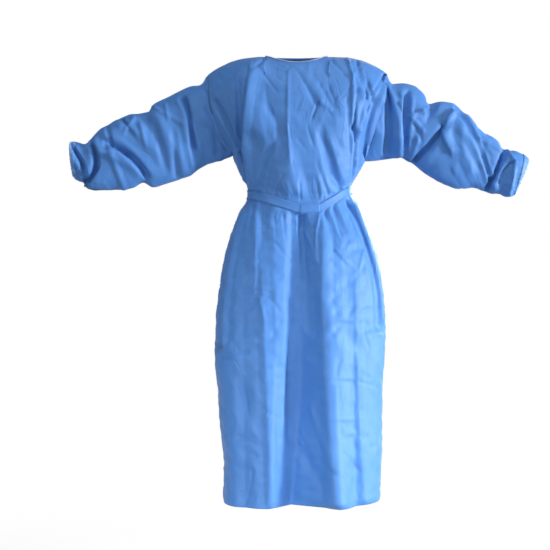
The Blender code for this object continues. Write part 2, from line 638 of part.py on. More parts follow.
def back_surface():
    """What is built on the back so far, as a tree that rays can be cast at."""
    corners, faces = [], []
    for name in ("back_left", "back_right", "belt_left", "belt_right"):
        mesh = bpy.data.objects[name].data
        faces += [[v + len(corners) for v in face.vertices] for face in mesh.polygons]
        corners += [vertex.co.copy() for vertex in mesh.vertices]
    return BVHTree.FromPolygons(corners, faces)


def build_neck_tab(tree, over):
    """The tab that closes the neck, sewn along the outer back panel's edge."""
    edge = over[-3, BODY_COLUMNS // 2 - BACK_LAP_COLUMNS, 0] + TAB_INSET
    across = np.linspace(TAB_SIZE[0], 0, TAB_GRID[0]) + edge
    x, z = np.meshgrid(across, np.linspace(-TAB_SIZE[1], 0, TAB_GRID[1]) - TAB_DROP)
    tab = laid_on(tree, x, z, TRIM_GAP + TRIM_CLOTH)
    cloth_wall("neck_tab", tab, point_normals([(tab, False)])[0], TRIM_CLOTH, BELT_LOOK)


def build_knot(tree, height):
    """The belt's knot, seated on the belt at the middle of the back."""
    about = np.linspace(-KNOT_SEAT, KNOT_SEAT, 5)
    x, z = np.meshgrid(about, about + height)
    seat = (0.0, laid_on(tree, x, z, TRIM_GAP)[..., 1].max(), height)
    bpy.ops.mesh.primitive_uv_sphere_add(segments=16, ring_count=10, radius=0.5)
    ball = bpy.context.object
    mesh = ball.data
    mesh.name = "belt_knot"
    for vertex in mesh.vertices:
        vertex.co = Vector([vertex.co[i] * KNOT_SIZE[i] + seat[i] for i in range(3)])
        vertex.co.y += KNOT_SIZE[1] / 2
    bpy.data.objects.remove(ball)
    finished("belt_knot", mesh, BELT_LOOK)


def build_tails(tree, height):
    """The belt's two free ends, which hang from the knot on the skirt."""
    start = height - max(BELT_WIDTH, KNOT_SIZE[2]) / 2 - TAIL_DROP
    steps, strands = TAIL_GRID
    share = np.linspace(1, 0, steps)
    for i, (length, spread) in enumerate(zip(TAIL_LENGTHS, TAIL_SPREAD)):
        middle = math.copysign(TAIL_START, spread) + spread * share
        x = middle[:, None] + np.linspace(BELT_WIDTH / 2, -BELT_WIDTH / 2, strands)
        z = np.repeat((start - length * share)[:, None], strands, axis=1)
        tail = laid_on(tree, x, z, TRIM_GAP + TRIM_CLOTH)
        cloth_wall(f"belt_tail_{i + 1}", tail, point_normals([(tail, False)])[0], TRIM_CLOTH, BELT_LOOK)


def main():
    for thing in list(bpy.data.objects):
        bpy.data.objects.remove(thing)
    collection = bpy.data.collections.new("isolation_gown")
    bpy.context.scene.collection.children.link(collection)

    front, back = body_side("front"), body_side("back")
    left, right = sleeve(LEFT_RINGS), sleeve(RIGHT_RINGS)[:, ::-1]
    grids = [(front, False), (back[:, ::-1], False), (left, True), (right, True)]
    front_normals, back_normals, left_normals, right_normals = point_normals(grids)
    back_normals = back_normals[:, ::-1]

    sewn = ("first_column", "last_column", "last_row")
    cloth_wall("front", drawn_in(front, sewn), front_normals, CLOTH, CLOTH_LOOK)
    over = build_back(back, back_normals)
    for name, grid, normals in (("left", left, left_normals), ("right", right, right_normals)):
        tube = drawn_in(grid, ("first_row",))
        cloth_wall(f"sleeve_{name}", tube, normals, CLOTH, CLOTH_LOOK, closed=True)
        trim(f"cuff_{name}", grid[-2:], normals[-2:], ELASTIC_LOOK, closed=True)
    build_belt(front, over, front_normals, back_normals)
    build_binding(front, back, over, front_normals, back_normals)
    tree = back_surface()
    build_neck_tab(tree, over)
    build_knot(tree, BELT_HEIGHT + BELT_RISE_BACK)
    build_tails(tree, BELT_HEIGHT + BELT_RISE_BACK)


main()
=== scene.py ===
"""The looks of an isolation gown that stands open and hollow, with its sleeves held out.

Each panel is a thin shell on the form of its solid. Its surface is worked out again from the same sections,
rings and folds on a finer grid, settled a little as loose cloth, and then creased.
Metres, +Z up, the front faces -Y, and the origin is the middle of the neck opening.
"""

import json
import math

import bpy
import numpy as np
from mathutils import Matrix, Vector
from mathutils.bvhtree import BVHTree
from mathutils.geometry import delaunay_2d_cdt

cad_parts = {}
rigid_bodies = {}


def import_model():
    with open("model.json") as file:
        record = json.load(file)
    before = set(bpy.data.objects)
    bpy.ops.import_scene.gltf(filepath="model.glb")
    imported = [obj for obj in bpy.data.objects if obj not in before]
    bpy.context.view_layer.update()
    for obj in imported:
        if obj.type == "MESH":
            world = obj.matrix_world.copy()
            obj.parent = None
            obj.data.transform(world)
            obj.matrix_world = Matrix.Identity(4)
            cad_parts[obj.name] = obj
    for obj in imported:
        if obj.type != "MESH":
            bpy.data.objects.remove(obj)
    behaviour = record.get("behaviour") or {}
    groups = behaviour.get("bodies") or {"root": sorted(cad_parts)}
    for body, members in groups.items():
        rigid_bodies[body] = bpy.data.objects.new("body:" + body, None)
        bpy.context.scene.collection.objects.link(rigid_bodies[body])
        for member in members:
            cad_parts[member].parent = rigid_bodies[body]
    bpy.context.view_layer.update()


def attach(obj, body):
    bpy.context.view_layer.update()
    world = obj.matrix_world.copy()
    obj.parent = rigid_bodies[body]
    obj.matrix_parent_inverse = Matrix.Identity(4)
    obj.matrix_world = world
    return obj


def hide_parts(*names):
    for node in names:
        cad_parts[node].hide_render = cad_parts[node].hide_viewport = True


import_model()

MM = 0.001

# Camera, at the height of the middle of the picture
CAMERA_PLACE = (-0.067, -3.2, -0.606)
VIEW_WIDTH = 1.529
SENSOR = 36.0

# The floor, which fades into the white surroundings between two distances
FLOOR_HEIGHT = -1.47
FLOOR_RADIUS = 9.0
FLOOR_COLOUR = (0.9, 0.9, 0.9, 1)
FLOOR_ROUGHNESS = 0.9
FLOOR_FADE = (0.3, 1.6)
FLOOR_WHITENESS = (0.75, 0.25)
SURROUNDINGS_COLOUR = (0.93, 0.96, 1.0, 1)
SURROUNDINGS_STRENGTH = 0.22
WHITE = (1, 1, 1, 1)

# Lights: where each stands, what it is aimed at, how wide it is, its power, and how far it spreads in degrees
STUDIO_LIGHTS = {
    "key_light": ((4.6, -2.0, -0.1), (0.1, 0.0, -0.85), 0.8, 45, 66),
    "top_light": ((0.5, -1.3, 2.2), (0.0, 0.0, -0.5), 0.9, 28, 180),
    "front_fill": ((0.4, -3.4, 0.3), (0.0, 0.0, -0.6), 1.6, 10, 180),
    "left_fill": ((-2.4, -2.4, 0.6), (-0.4, 0.0, -0.25), 1.0, 1.8, 50),
    "low_fill": ((-0.9, -1.9, -1.44), (-0.1, 0.0, -1.36), 0.6, 5.5, 60),
    "low_key": ((1.8, -1.5, -1.44), (0.15, 0.0, -1.36), 0.6, 5.5, 60),
    "side_light": ((3.4, 0.1, -1.0), (0.1, 0.0, -0.8), 1.0, 40, 180),
    "back_light": ((1.5, 3.2, 0.6), (0.0, 0.0, -0.6), 1.3, 150, 180),
}

# Driving sizes of the garment
CLOTH = 0.6 * MM
SEAM_GAP = 0.3 * MM
TRIM_CLOTH = 0.9 * MM
BELT_WIDTH = 26.0 * MM
PATCH_WIDTH = 51.0 * MM
PATCH_CENTRE = 27.0 * MM
PATCH_TUCK = 7.0 * MM
BINDING_WIDTH = 8.0 * MM
CUFF_WIDTH = 12.0 * MM
BACK_LIFT = 3.2 * MM
TAB_SIZE = (42.0 * MM, 24.0 * MM)
TAB_DROP = 26.0 * MM
TAB_INSET = 3.0 * MM
TAB_POINTS = (16, 10)
STIFFNESS = 9.0 * MM
BELT_LIFT = 2.6 * MM

# The belt's patch: how far it stands proud of the belt, its rows of stitches, and where the outer rows lie
PATCH_LIFT = 1.5 * MM
PATCH_ROWS = 8
PATCH_ROW_SPAN = (0.09, 0.91)

# Slow waves of the belt's cloth, and the swell across its width
BELT_WAVE = 0.5 * MM
BELT_WAVE_RUNS = (17 * MM, 43 * MM)
BELT_SWELL = 0.7 * MM

# The knot: its doubled cloth runs along a path with three crossings
KNOT_SIZE = (36.0 * MM, 15.0 * MM, 27.0 * MM)
KNOT_PATH_SHARE = 0.24
KNOT_SEAT = 0.52
KNOT_BAND = (9.5 * MM, 6.0 * MM)
KNOT_STEPS = 96
KNOT_SIDES = 14
KNOT_CREASE = 0.10
KNOT_MAP_STEP = 1.5 * MM

# The tails: pinched where they leave the knot, they wander and ripple as they hang
TAIL_LENGTHS = (300.0 * MM, 262.0 * MM)
TAIL_SPREAD = (-34.0 * MM, 26.0 * MM)
TAIL_START = 0.6 * BELT_WIDTH
TAIL_DROP = 1.5 * MM
TAIL_POINTS = (9, 70)
TAIL_WANDER = 3 * MM
TAIL_PINCH = 0.45
TAIL_PINCH_REACH = 0.06
TAIL_BEND = 6 * MM
TAIL_RIPPLE = 1.3 * MM
TAIL_LIFT = 0.3 * MM

# The sleeves' ends: gathers of the cloth, and the ridges of the elastic edge
GATHER_DEPTH = 1.0 * MM
GATHER_REACH = 26 * MM
GATHERS = (26, 41)
CUFF_RIDGES = 60
CUFF_RIDGE_HEIGHT = 0.3 * MM
CUFF_LIFT = 0.2 * MM

# Grid of the cloth: the solids' own columns and armhole steps, and how many fine ones each of them has
BODY_COLUMNS = 32
SHOULDER_COLUMNS = 10
BACK_LAP_COLUMNS = 3
ARMHOLE_STEPS = 10
TOP_STEP_ANGLE = 0.15
FINE = 5
ROW_SPACING = 4.9 * MM
RING_SPACING = 4.4 * MM
CURVE_STEPS = 721
SAME_PLACE = 0.02 * MM

# Shape of the body, as in its solids
SECTION_ROUNDNESS = (2.3, 2.9)
ROUNDNESS_RUN = 240.0 * MM
SEAM_CALM = 0.6
CHEST_BLEND = 0.45
CHEST_CORNER = 0.27
CHEST_CALM = 0.12
CHEST_CROWDING = 1.35
CHEST_ROUNDING = (0.5, 0.95)
NECK_ROUND = 95.0 * MM
NECK_CALM = 60.0 * MM
TOP_LEVEL = 0.985

# Level sections of the body in millimetres, from the hem up: the height at the left side seam, how much
# higher the section lies at the right one, the two side seams, and the depth to the front and the back
SECTION_NAMES = ("height", "tilt", "left", "right", "front", "back")
BODY_SECTIONS = (
    (-1228, 9, -209, 222, 160, 146),
    (-1134, 4, -209, 226, 160, 146),
    (-1051, 0, -216, 227, 161, 145),
    (-937, 0, -224, 229, 162, 144),
    (-842, 0, -233, 233, 162, 143),
    (-726, 0, -231, 237, 158, 139),
    (-625, 0, -219, 227, 150, 133),
    (-556, 2, -207, 215, 141, 126),
    (-512, 4, -195, 203, 133, 119),
    (-473, 7, -181, 186, 125, 111),
    (-434, 11, -165, 167, 115, 102),
    (-403, 14, -148, 148, 108, 94),
    (-384, 14, -141, 142, 105, 90),
    (-361, 8, -145, 144, 108, 92),
    (-339, 0, -157, 153, 113, 96),
    (-317, -7, -167, 163, 116, 99),
    (-294, -12, -175, 174, 118, 102),
    (-275, -16, -182, 182, 119, 104),
)
BELT_HEIGHT = -384 * MM
BELT_DIP_FRONT = -50 * MM
BELT_RISE_BACK = 14 * MM
BELT_STRAIGHT = 0.75
BELT_REACH = 120 * MM
BELT_CALM = 9 * MM

# Depth of the chest above the underarm, in millimetres
CHEST_NAMES = ("height", "front", "back")
CHEST_DEPTHS = ((-300, 119, 104), (-220, 119, 108), (-150, 115, 107), (-80, 106, 100), (0, 92, 90))

# The neck opening, an ellipse that dips in front
NECK_CENTRE = -7 * MM
NECK_HALF_WIDTH = 86 * MM
NECK_FRONT = 66 * MM
NECK_BACK = 58 * MM
NECK_DIP = 26 * MM
NECK_RISE = 5 * MM
SHOULDER_DROP_POWER = 2.4

# Rings of the sleeves in millimetres, from the armhole to the cuff: where a ring's highest and lowest
# points lie seen from the front, its depth to the front and to the back, and how far its front bows right
RING_NAMES = ("top_x", "top_z", "bottom_x", "bottom_z", "front", "back", "bow")
LEFT_RINGS = (
    (-256, -52, -182, -275, 60, 58, -6),
    (-276, -79, -214, -286, 59, 55, -4),
    (-300, -83, -250, -297, 56, 52, 0),
    (-333, -94, -290, -318, 54, 50, 0),
    (-368, -112, -330, -339, 53, 49, 0),
    (-401, -130, -372, -353, 52, 48, 0),
    (-420, -152, -405, -362, 50, 47, 0),
    (-446, -157, -432, -350, 50, 46, 0),
    (-477, -163, -462, -364, 51, 46, 0),
    (-506, -175, -494, -369, 50, 46, 0),
    (-533, -191, -527, -369, 49, 45, 0),
    (-556, -209, -561, -367, 46, 43, 0),
    (-577, -232, -586, -364, 42, 40, 0),
    (-596, -244, -600, -347, 36, 35, 0),
    (-618, -239, -616, -340, 39, 37, 0),
    (-636, -238, -628, -331, 35, 33, 0),
)
RIGHT_RINGS = (
    (244, -46, 182, -291, 60, 58, -17),
    (262, -76, 214, -288, 59, 55, -10),
    (290, -77, 246, -284, 57, 53, -3),
    (320, -85, 280, -281, 54, 50, 0),
    (348, -106, 312, -294, 52, 48, 0),
    (362, -130, 341, -316, 50, 47, 0),
    (390, -125, 372, -337, 52, 48, 0),
    (425, -130, 410, -353, 52, 48, 0),
    (455, -155, 446, -363, 51, 47, 0),
    (486, -184, 482, -361, 50, 46, 0),
    (518, -214, 512, -371, 48, 45, 0),
    (550, -232, 541, -380, 44, 42, 0),
    (572, -258, 556, -378, 37, 36, 0),
    (596, -262, 574, -388, 41, 39, 0),
    (619, -272, 593, -383, 38, 36, 0),
    (638, -286, 603, -367, 33, 32, 0),
)
RING_TAPER = 0.30
SLEEVE_CALM = 0.6
SLEEVE_END_CALM = 14 * MM
CUFF_LIVE = 4 * MM

# Main folds in millimetres, close to those of the solids: from (x1, z1) to (x2, z2) as seen from the front,
# how far the line bows to the right, the widths of its left and right flanks at either end, its depth at
# either end (a ridge is positive), and how sharp its crease is
FOLD_NAMES = ("x1", "z1", "x2", "z2", "bow")
FOLD_NAMES += ("left1", "right1", "left2", "right2", "depth1", "depth2", "crisp")
FRONT_FOLDS = {
    "centre valley": (8, -452, -30, -1300, 6, 72, 60, 56, 104, -4, -66, 0.7),
    "centre pleat": (4, -440, 20, -720, 2, 13, 15, 18, 50, -9, -5, 0.4),
    "right knee": (84, -520, 102, -1300, 0, 44, 70, 34, 66, 3, 36, 0.2),
    "left belt gather": (-104, -420, -108, -650, 0, 12, 34, 12, 34, -5, -2, 0.3),
    "right belt gather": (64, -428, 94, -545, 4, 12, 13, 14, 14, -11, -3, 0.3),
    "right belt tuck": (92, -424, 120, -500, 0, 11, 11, 14, 14, -9, -2, 0.3),
    "right hip tuck": (134, -404, 222, -740, 22, 14, 10, 26, 12, -13, -15, 0.4),
    "left hip tuck": (-152, -404, -218, -790, -20, 16, 9, 20, 12, -12, -17, 0.4),
    "right thigh trough": (138, -560, 150, -1300, 0, 28, 20, 32, 24, -2, -11, 0.6),
    "left thigh trough": (-150, -560, -150, -1300, 0, 24, 30, 26, 36, -2, -9, 0.4),
    "left chest edge": (-124, -16, -150, -352, -26, 32, 12, 30, 12, -7, -14, 0.4),
    "right chest edge": (164, -20, 160, -345, 20, 12, 18, 14, 28, -8, -13, 0.3),
    "right chest ridge": (150, -56, 146, -320, 4, 11, 11, 12, 12, 6, 5, 0.3),
    "yoke trough": (-22, -33, 36, -140, 0, 3, 4, 6, 18, -1.5, -8, 0.5),
    "waist tuck left": (-108, -362, -74, -270, 4, 16, 18, 18, 18, -8, -2, 0.3),
    "waist tuck right": (112, -360, 62, -226, 6, 14, 22, 16, 26, -11, -2, 0.3),
    "left sleeve head": (-316, -128, -297, -296, 5, 15, 14, 15, 14, -12, -5, 0.4),
    "left sleeve ridge": (-322, -166, -300, -300, 0, 12, 12, 12, 14, 3, 7, 0.3),
    "left sleeve diagonal": (-540, -240, -428, -330, 16, 14, 20, 16, 16, -13, -11, 0.4),
    "left sleeve swell": (-545, -268, -440, -346, 14, 14, 13, 14, 14, 7, 6, 0.2),
    "left sleeve star": (-490, -184, -458, -222, 0, 14, 14, 14, 14, -8, -3, 0.4),
    "left elbow notch": (-424, -166, -404, -226, 0, 16, 16, 16, 16, -10, -2, 0.3),
    "left wrist fold": (-578, -242, -592, -352, 26, 14, 11, 14, 11, -13, -13, 0.4),
    "left cuff fold": (-636, -242, -592, -350, 10, 10, 11, 9, 11, -7, -9, 0.5),
    "right sleeve head": (240, -104, 248, -262, 2, 18, 20, 18, 18, -12, -10, 0.3),
    "right sleeve ridge": (280, -108, 281, -262, 0, 14, 14, 14, 14, 9, 6, 0.3),
    "right sleeve crease": (300, -108, 294, -244, 0, 11, 12, 11, 12, -8, -4, 0.4),
    "right elbow notch": (366, -148, 334, -196, 6, 16, 16, 16, 14, -11, -3, 0.4),
    "right sleeve diagonal": (400, -204, 316, -294, 4, 18, 10, 16, 10, -14, -12, 0.5),
    "right sleeve bend": (430, -158, 426, -264, -24, 16, 14, 14, 14, 9, 5, 0.3),
    "right forearm trough": (438, -146, 530, -340, 12, 14, 16, 14, 16, -4, -7, 0.4),
    "right wrist fold": (566, -268, 524, -366, -2, 12, 12, 12, 13, -13, -13, 0.4),
    "right cuff fold": (592, -296, 554, -350, 0, 9, 10, 9, 10, -6, -3, 0.5),
}
BACK_FOLDS = {
    "back valley": (-62, -420, -84, -1300, 8, 34, 46, 40, 62, -8, -40, 0.5),
    "back left trough": (-142, -410, -170, -1300, -6, 24, 28, 26, 34, -8, -20, 0.4),
    "back right trough": (92, -420, 124, -1300, 6, 34, 30, 46, 32, -9, -34, 0.5),
    "back right ridge": (156, -440, 180, -1300, 4, 20, 20, 26, 24, 5, 10, 0.2),
    "back waist left": (-84, -352, -112, -180, 0, 20, 20, 22, 22, -12, -3, 0.3),
    "back waist right": (78, -352, 106, -170, 0, 20, 20, 22, 22, -12, -3, 0.3),
    "back left blade": (-168, -80, -152, -330, 6, 26, 18, 26, 18, -7, -13, 0.3),
    "back right blade": (162, -80, 150, -330, -6, 18, 26, 18, 26, -7, -13, 0.3),
    "back left head": (-312, -126, -290, -286, 0, 16, 16, 16, 16, -7, -5, 0.3),
    "back left elbow": (-456, -196, -410, -330, 6, 18, 18, 18, 18, -8, -5, 0.4),
    "back left wrist": (-580, -248, -584, -352, 10, 13, 13, 13, 13, -11, -12, 0.4),
    "back right head": (278, -112, 262, -268, 0, 16, 16, 16, 16, -7, -5, 0.3),
    "back right elbow": (424, -166, 374, -312, 6, 18, 18, 18, 18, -8, -5, 0.4),
    "back right wrist": (564, -270, 528, -362, 4, 13, 13, 13, 13, -11, -12, 0.4),
}

# How much sharper thin cloth creases than the solids' folds
FOLD_CRISPNESS = 0.4

# Finer creases in millimetres, where they show from the camera's side: from one end to the other, the bow to
# the right, the widths of the two flanks, the depth at either end, and how sharp the crease is
CREASE_NAMES = ("x1", "z1", "x2", "z2", "bow", "left", "right", "depth1", "depth2", "crisp")
FRONT_CREASES = (
    # Upper body
    (-136, -36, -150, -361, -10, 8, 24, 4, 5, 0.9),
    (-147, -70, -160, -361, -10, 5, 8, -3, -4, 0.8),
    (-170, -70, -164, -350, 0, 10, 13, -3, -6, 0.4),
    (-234, -131, -156, -288, 4, 9, 12, -5, -5, 0.5),
    (-30, -24, -30, -372, 0, 60, 64, 2.5, 3.5, 0.98),
    (-31, -44, -33, -197, 0, 5, 7, 1.0, 1.4, 0.9),
    (-33, -197, -24, -292, 0, 4, 6, 1.8, 1.8, 0.9),
    (53, -128, 36, -168, 0, 4, 6, -3, -2, 0.8),
    (57, -122, 128, -161, -6, 5, 5, 2.5, 2, 0.9),
    (57, -77, 102, -151, 0, 5, 7, -2, -2.5, 0.8),
    (83, -86, 109, -151, 0, 4, 6, -2, -2, 0.8),
    (94, -12, 124, -42, 0, 5, 6, -2, -2, 0.8),
    (-115, -23, -65, -92, 0, 5, 6, -1.5, -1, 0.8),
    (-143, -47, -98, -6, 0, 6, 6, -2, -2, 0.7),
    (24, -199, 39, -247, 0, 4, 5, -1.6, -1, 0.8),
    (-2, -233, 20, -259, 0, 4, 5, -1.6, -1, 0.8),
    (61, -225, 91, -333, 4, 15, 22, -3, -3.5, 0.6),
    (-65, -255, -109, -370, -4, 10, 18, 2, 3.5, 0.7),
    (128, -379, 86, -328, 4, 10, 10, 3, 1.5, 0.7),
    (-80, -150, -50, -240, 6, 20, 24, -1.5, -2, 0.6),
    (10, -306, 26, -366, 0, 30, 34, -2, -3, 0.5),
    (121, -377, 70, -270, 6, 9, 10, -4, -2, 0.6),
    # The long folds from the right shoulder to the belt
    (136, -8, 150, -53, 0, 6, 7, 3, 3, 0.9),
    (150, -53, 148, -186, 0, 6, 7, 3, 3, 0.9),
    (161, -53, 165, -92, 0, 6, 8, -3, -4, 0.9),
    (165, -92, 150, -197, 0, 6, 8, -4, -4, 0.9),
    (150, -197, 158, -231, 0, 6, 8, -4, -4, 0.9),
    (158, -231, 150, -336, 0, 6, 8, -4, -3, 0.9),
    (161, -8, 188, -118, 0, 6, 7, -4, -5, 0.9),
    (189, -117, 164, -203, 0, 6, 8, 4, 4, 0.9),
    (164, -203, 158, -300, 0, 6, 8, 4, 3, 0.9),
    (176, -40, 178, -112, 3, 6, 6, 3, 3, 0.7),
    (191, -75, 205, -119, 0, 6, 7, -4, -4, 0.9),
    (205, -119, 188, -147, 0, 6, 7, -4, -3, 0.9),
    (240, -46, 211, -88, 0, 7, 7, -4, -4, 0.9),
    (134, -120, 142, -260, 0, 7, 7, -2, -2, 0.6),
    (-96, -374, -72, -290, 4, 6, 8, -2.5, -1, 0.5),
    (-66, -380, -44, -330, 2, 5, 8, -2, -1, 0.5),
    (4, -392, 2, -352, 0, 5, 6, -2, -1, 0.5),
    (56, -384, 46, -340, 0, 6, 8, -2, -1, 0.5),
    (78, -374, 52, -300, 0, 6, 9, -2.5, -1, 0.5),
    # Skirt: the creases of the pack
    (-116, -455, -76, -1245, 4, 20, 24, 3, 6, 0.95),
    (-20, -459, -26, -1245, 0, 22, 30, -2, -4, 0.95),
    (-20, -452, -24, -980, 0, 15, 84, -4, -13, 0.97),
    (69, -500, 112, -1262, -12, 74, 26, 8, 9, 0.97),
    (156, -626, 180, -1252, -6, 20, 26, 3, 5, 0.95),
    (-158, -440, -210, -787, -14, 9, 14, 5, 6, 0.7),
    (-114, -445, -117, -640, 0, 7, 30, -2.5, -1.5, 0.9),
    # Skirt: the gathers under the belt
    (5, -442, 19, -612, 0, 13, 10, -4, -3, 0.8),
    (14, -484, 44, -566, 4, 6, 8, 3, 2, 0.7),
    (55, -442, 53, -575, -8, 5, 6, 2.5, 2, 0.8),
    (65, -439, 95, -539, 2, 5, 7, -3, -2, 0.8),
    (92, -431, 117, -496, 2, 5, 6, -3, -2, 0.8),
    (132, -411, 156, -489, 0, 6, 8, -4, -2, 0.8),
    (153, -420, 231, -726, 16, 7, 12, 6, 5, 0.8),
    (-44, -442, -36, -520, 0, 6, 8, -2, -1, 0.7),
    (-128, -420, -140, -500, -4, 6, 7, -5, -1, 0.6),
    (-70, -440, -64, -500, 0, 6, 8, -1.5, -1, 0.7),
    # Skirt: crumples
    (105, -539, 164, -595, -2, 8, 7, 3, 2, 0.6),
    (180, -539, 168, -592, 0, 6, 6, 3, 2, 0.6),
    (-64, -520, -28, -562, 0, 6, 6, -2, -2, 0.7),
    (-158, -648, -83, -656, 3, 6, 6, -2, -2, 0.7),
    (-106, -664, -58, -703, 8, 6, 7, -2, -2, 0.7),
    (-111, -670, -97, -723, 0, 5, 6, 2, 2, 0.7),
    (111, -690, 203, -701, -8, 6, 6, 2, 2, 0.6),
    (181, -762, 197, -806, 0, 6, 6, -2, -2, 0.7),
    (100, -903, 147, -903, 0, 6, 6, -2, -2, 0.7),
    (170, -903, 214, -917, 0, 6, 6, -2, -2, 0.7),
    (100, -1009, 167, -1006, 0, 6, 7, 2, 2, 0.7),
    (-164, -1056, -94, -1086, -3, 6, 7, -2, -2, 0.7),
    (-167, -915, -145, -976, 4, 6, 7, -2, -2, 0.7),
    (-94, -981, -61, -1004, 0, 6, 6, -2, -2, 0.7),
    (-131, -1151, -142, -1220, 0, 6, 7, -2, -2, 0.7),
    (131, -1106, 164, -1148, 0, 7, 7, -2, -2, 0.7),
    (81, -1134, 122, -1176, 0, 7, 7, -2, -2, 0.7),
    (-8, -1042, 14, -1076, 0, 6, 6, -2, -2, 0.7),
    (-180, -880, -120, -1000, 0, 30, 34, -3, -2, 0.4),
    (-20, -1060, 60, -1180, 0, 22, 26, -4, -3, 0.5),
    (120, -760, 210, -860, 0, 26, 30, -3, -2, 0.4),
    (30, -980, 80, -1090, 0, 14, 18, 3, 2, 0.5),
    # Sleeve on the picture's left
    (-320, -167, -299, -300, 0, 6, 8, 4, 4, 0.6),
    (-317, -120, -293, -247, 4, 6, 7, -6, -6, 0.6),
    (-372, -131, -364, -170, 0, 5, 5, 3, 2, 0.6),
    (-536, -247, -428, -322, 14, 8, 10, -6, -7, 0.6),
    (-543, -239, -437, -335, 6, 8, 8, 5, 4, 0.5),
    (-492, -172, -461, -214, 0, 6, 6, -5, -3, 0.7),
    (-461, -172, -486, -211, 0, 6, 6, 3, 2, 0.7),
    (-533, -195, -522, -242, 0, 6, 7, -6, -4, 0.6),
    (-578, -242, -591, -350, 22, 7, 8, -7, -8, 0.6),
    (-639, -242, -591, -349, 10, 6, 7, -6, -6, 0.7),
    (-625, -311, -596, -350, 4, 5, 5, -3, -3, 0.6),
    (-400, -200, -372, -300, 0, 16, 18, -4, -3, 0.4),
    (-440, -190, -428, -240, 0, 8, 8, 3, 2, 0.5),
    (-350, -220, -340, -320, 0, 14, 16, -3, -4, 0.4),
    (-260, -150, -230, -270, 6, 9, 12, -4, -5, 0.5),
    (-261, -97, -244, -153, 0, 5, 6, -3, -3, 0.7),
    (-258, -192, -197, -261, 0, 5, 7, -3, -3, 0.7),
    (-336, -128, -273, -268, 8, 10, 12, 3, 3, 0.6),
    (-400, -142, -324, -185, 0, 7, 8, 3, 2, 0.7),
    (-495, -190, -462, -206, 0, 10, 12, 3, 3, 0.8),
    (-526, -261, -488, -363, 0, 12, 14, 3, 3, 0.7),
    (-470, -240, -400, -300, 6, 24, 28, -3, -2, 0.6),
    (-392, -170, -300, -330, 0, 30, 36, 3, 3, 0.7),
    # Sleeve on the picture's right
    (245, -47, 183, -281, -14, 9, 11, -4, -5, 0.5),
    (242, -78, 242, -261, 6, 12, 14, -5, -5, 0.4),
    (250, -92, 282, -262, 14, 46, 10, 6, 6, 0.9),
    (314, -120, 306, -270, 0, 8, 9, 3, 3, 0.6),
    (313, -167, 357, -142, 0, 5, 6, 3, 2, 0.7),
    (313, -167, 345, -206, 0, 5, 6, 3, 2, 0.7),
    (320, -150, 352, -168, 0, 4, 5, -3, -3, 0.7),
    (316, -176, 338, -226, 0, 4, 6, -3, -2, 0.7),
    (247, -89, 283, -130, 0, 7, 8, 3, 3, 0.7),
    (452, -196, 474, -300, -8, 20, 24, 3, 3, 0.6),
    (500, -230, 560, -262, 4, 9, 12, 3, 3, 0.7),
    (520, -280, 540, -350, 0, 16, 12, 3, 3, 0.7),
    (299, -106, 293, -242, 0, 6, 8, -6, -5, 0.6),
    (355, -145, 344, -203, -34, 5, 6, 4, 3, 0.6),
    (398, -200, 316, -293, 2, 8, 6, -8, -8, 0.7),
    (430, -156, 425, -261, -24, 8, 8, 6, 4, 0.6),
    (436, -145, 531, -339, 10, 9, 9, -5, -5, 0.5),
    (566, -270, 523, -367, 2, 7, 7, -7, -8, 0.6),
    (589, -297, 556, -348, -6, 5, 5, -5, -4, 0.7),
    (580, -262, 600, -290, 0, 6, 6, 3, 3, 0.6),
    (468, -170, 500, -260, 6, 12, 14, 3, 2, 0.4),
    (330, -230, 312, -286, 0, 8, 9, 4, 3, 0.5),
    (600, -296, 584, -380, 2, 6, 7, 4, 3, 0.5),
)
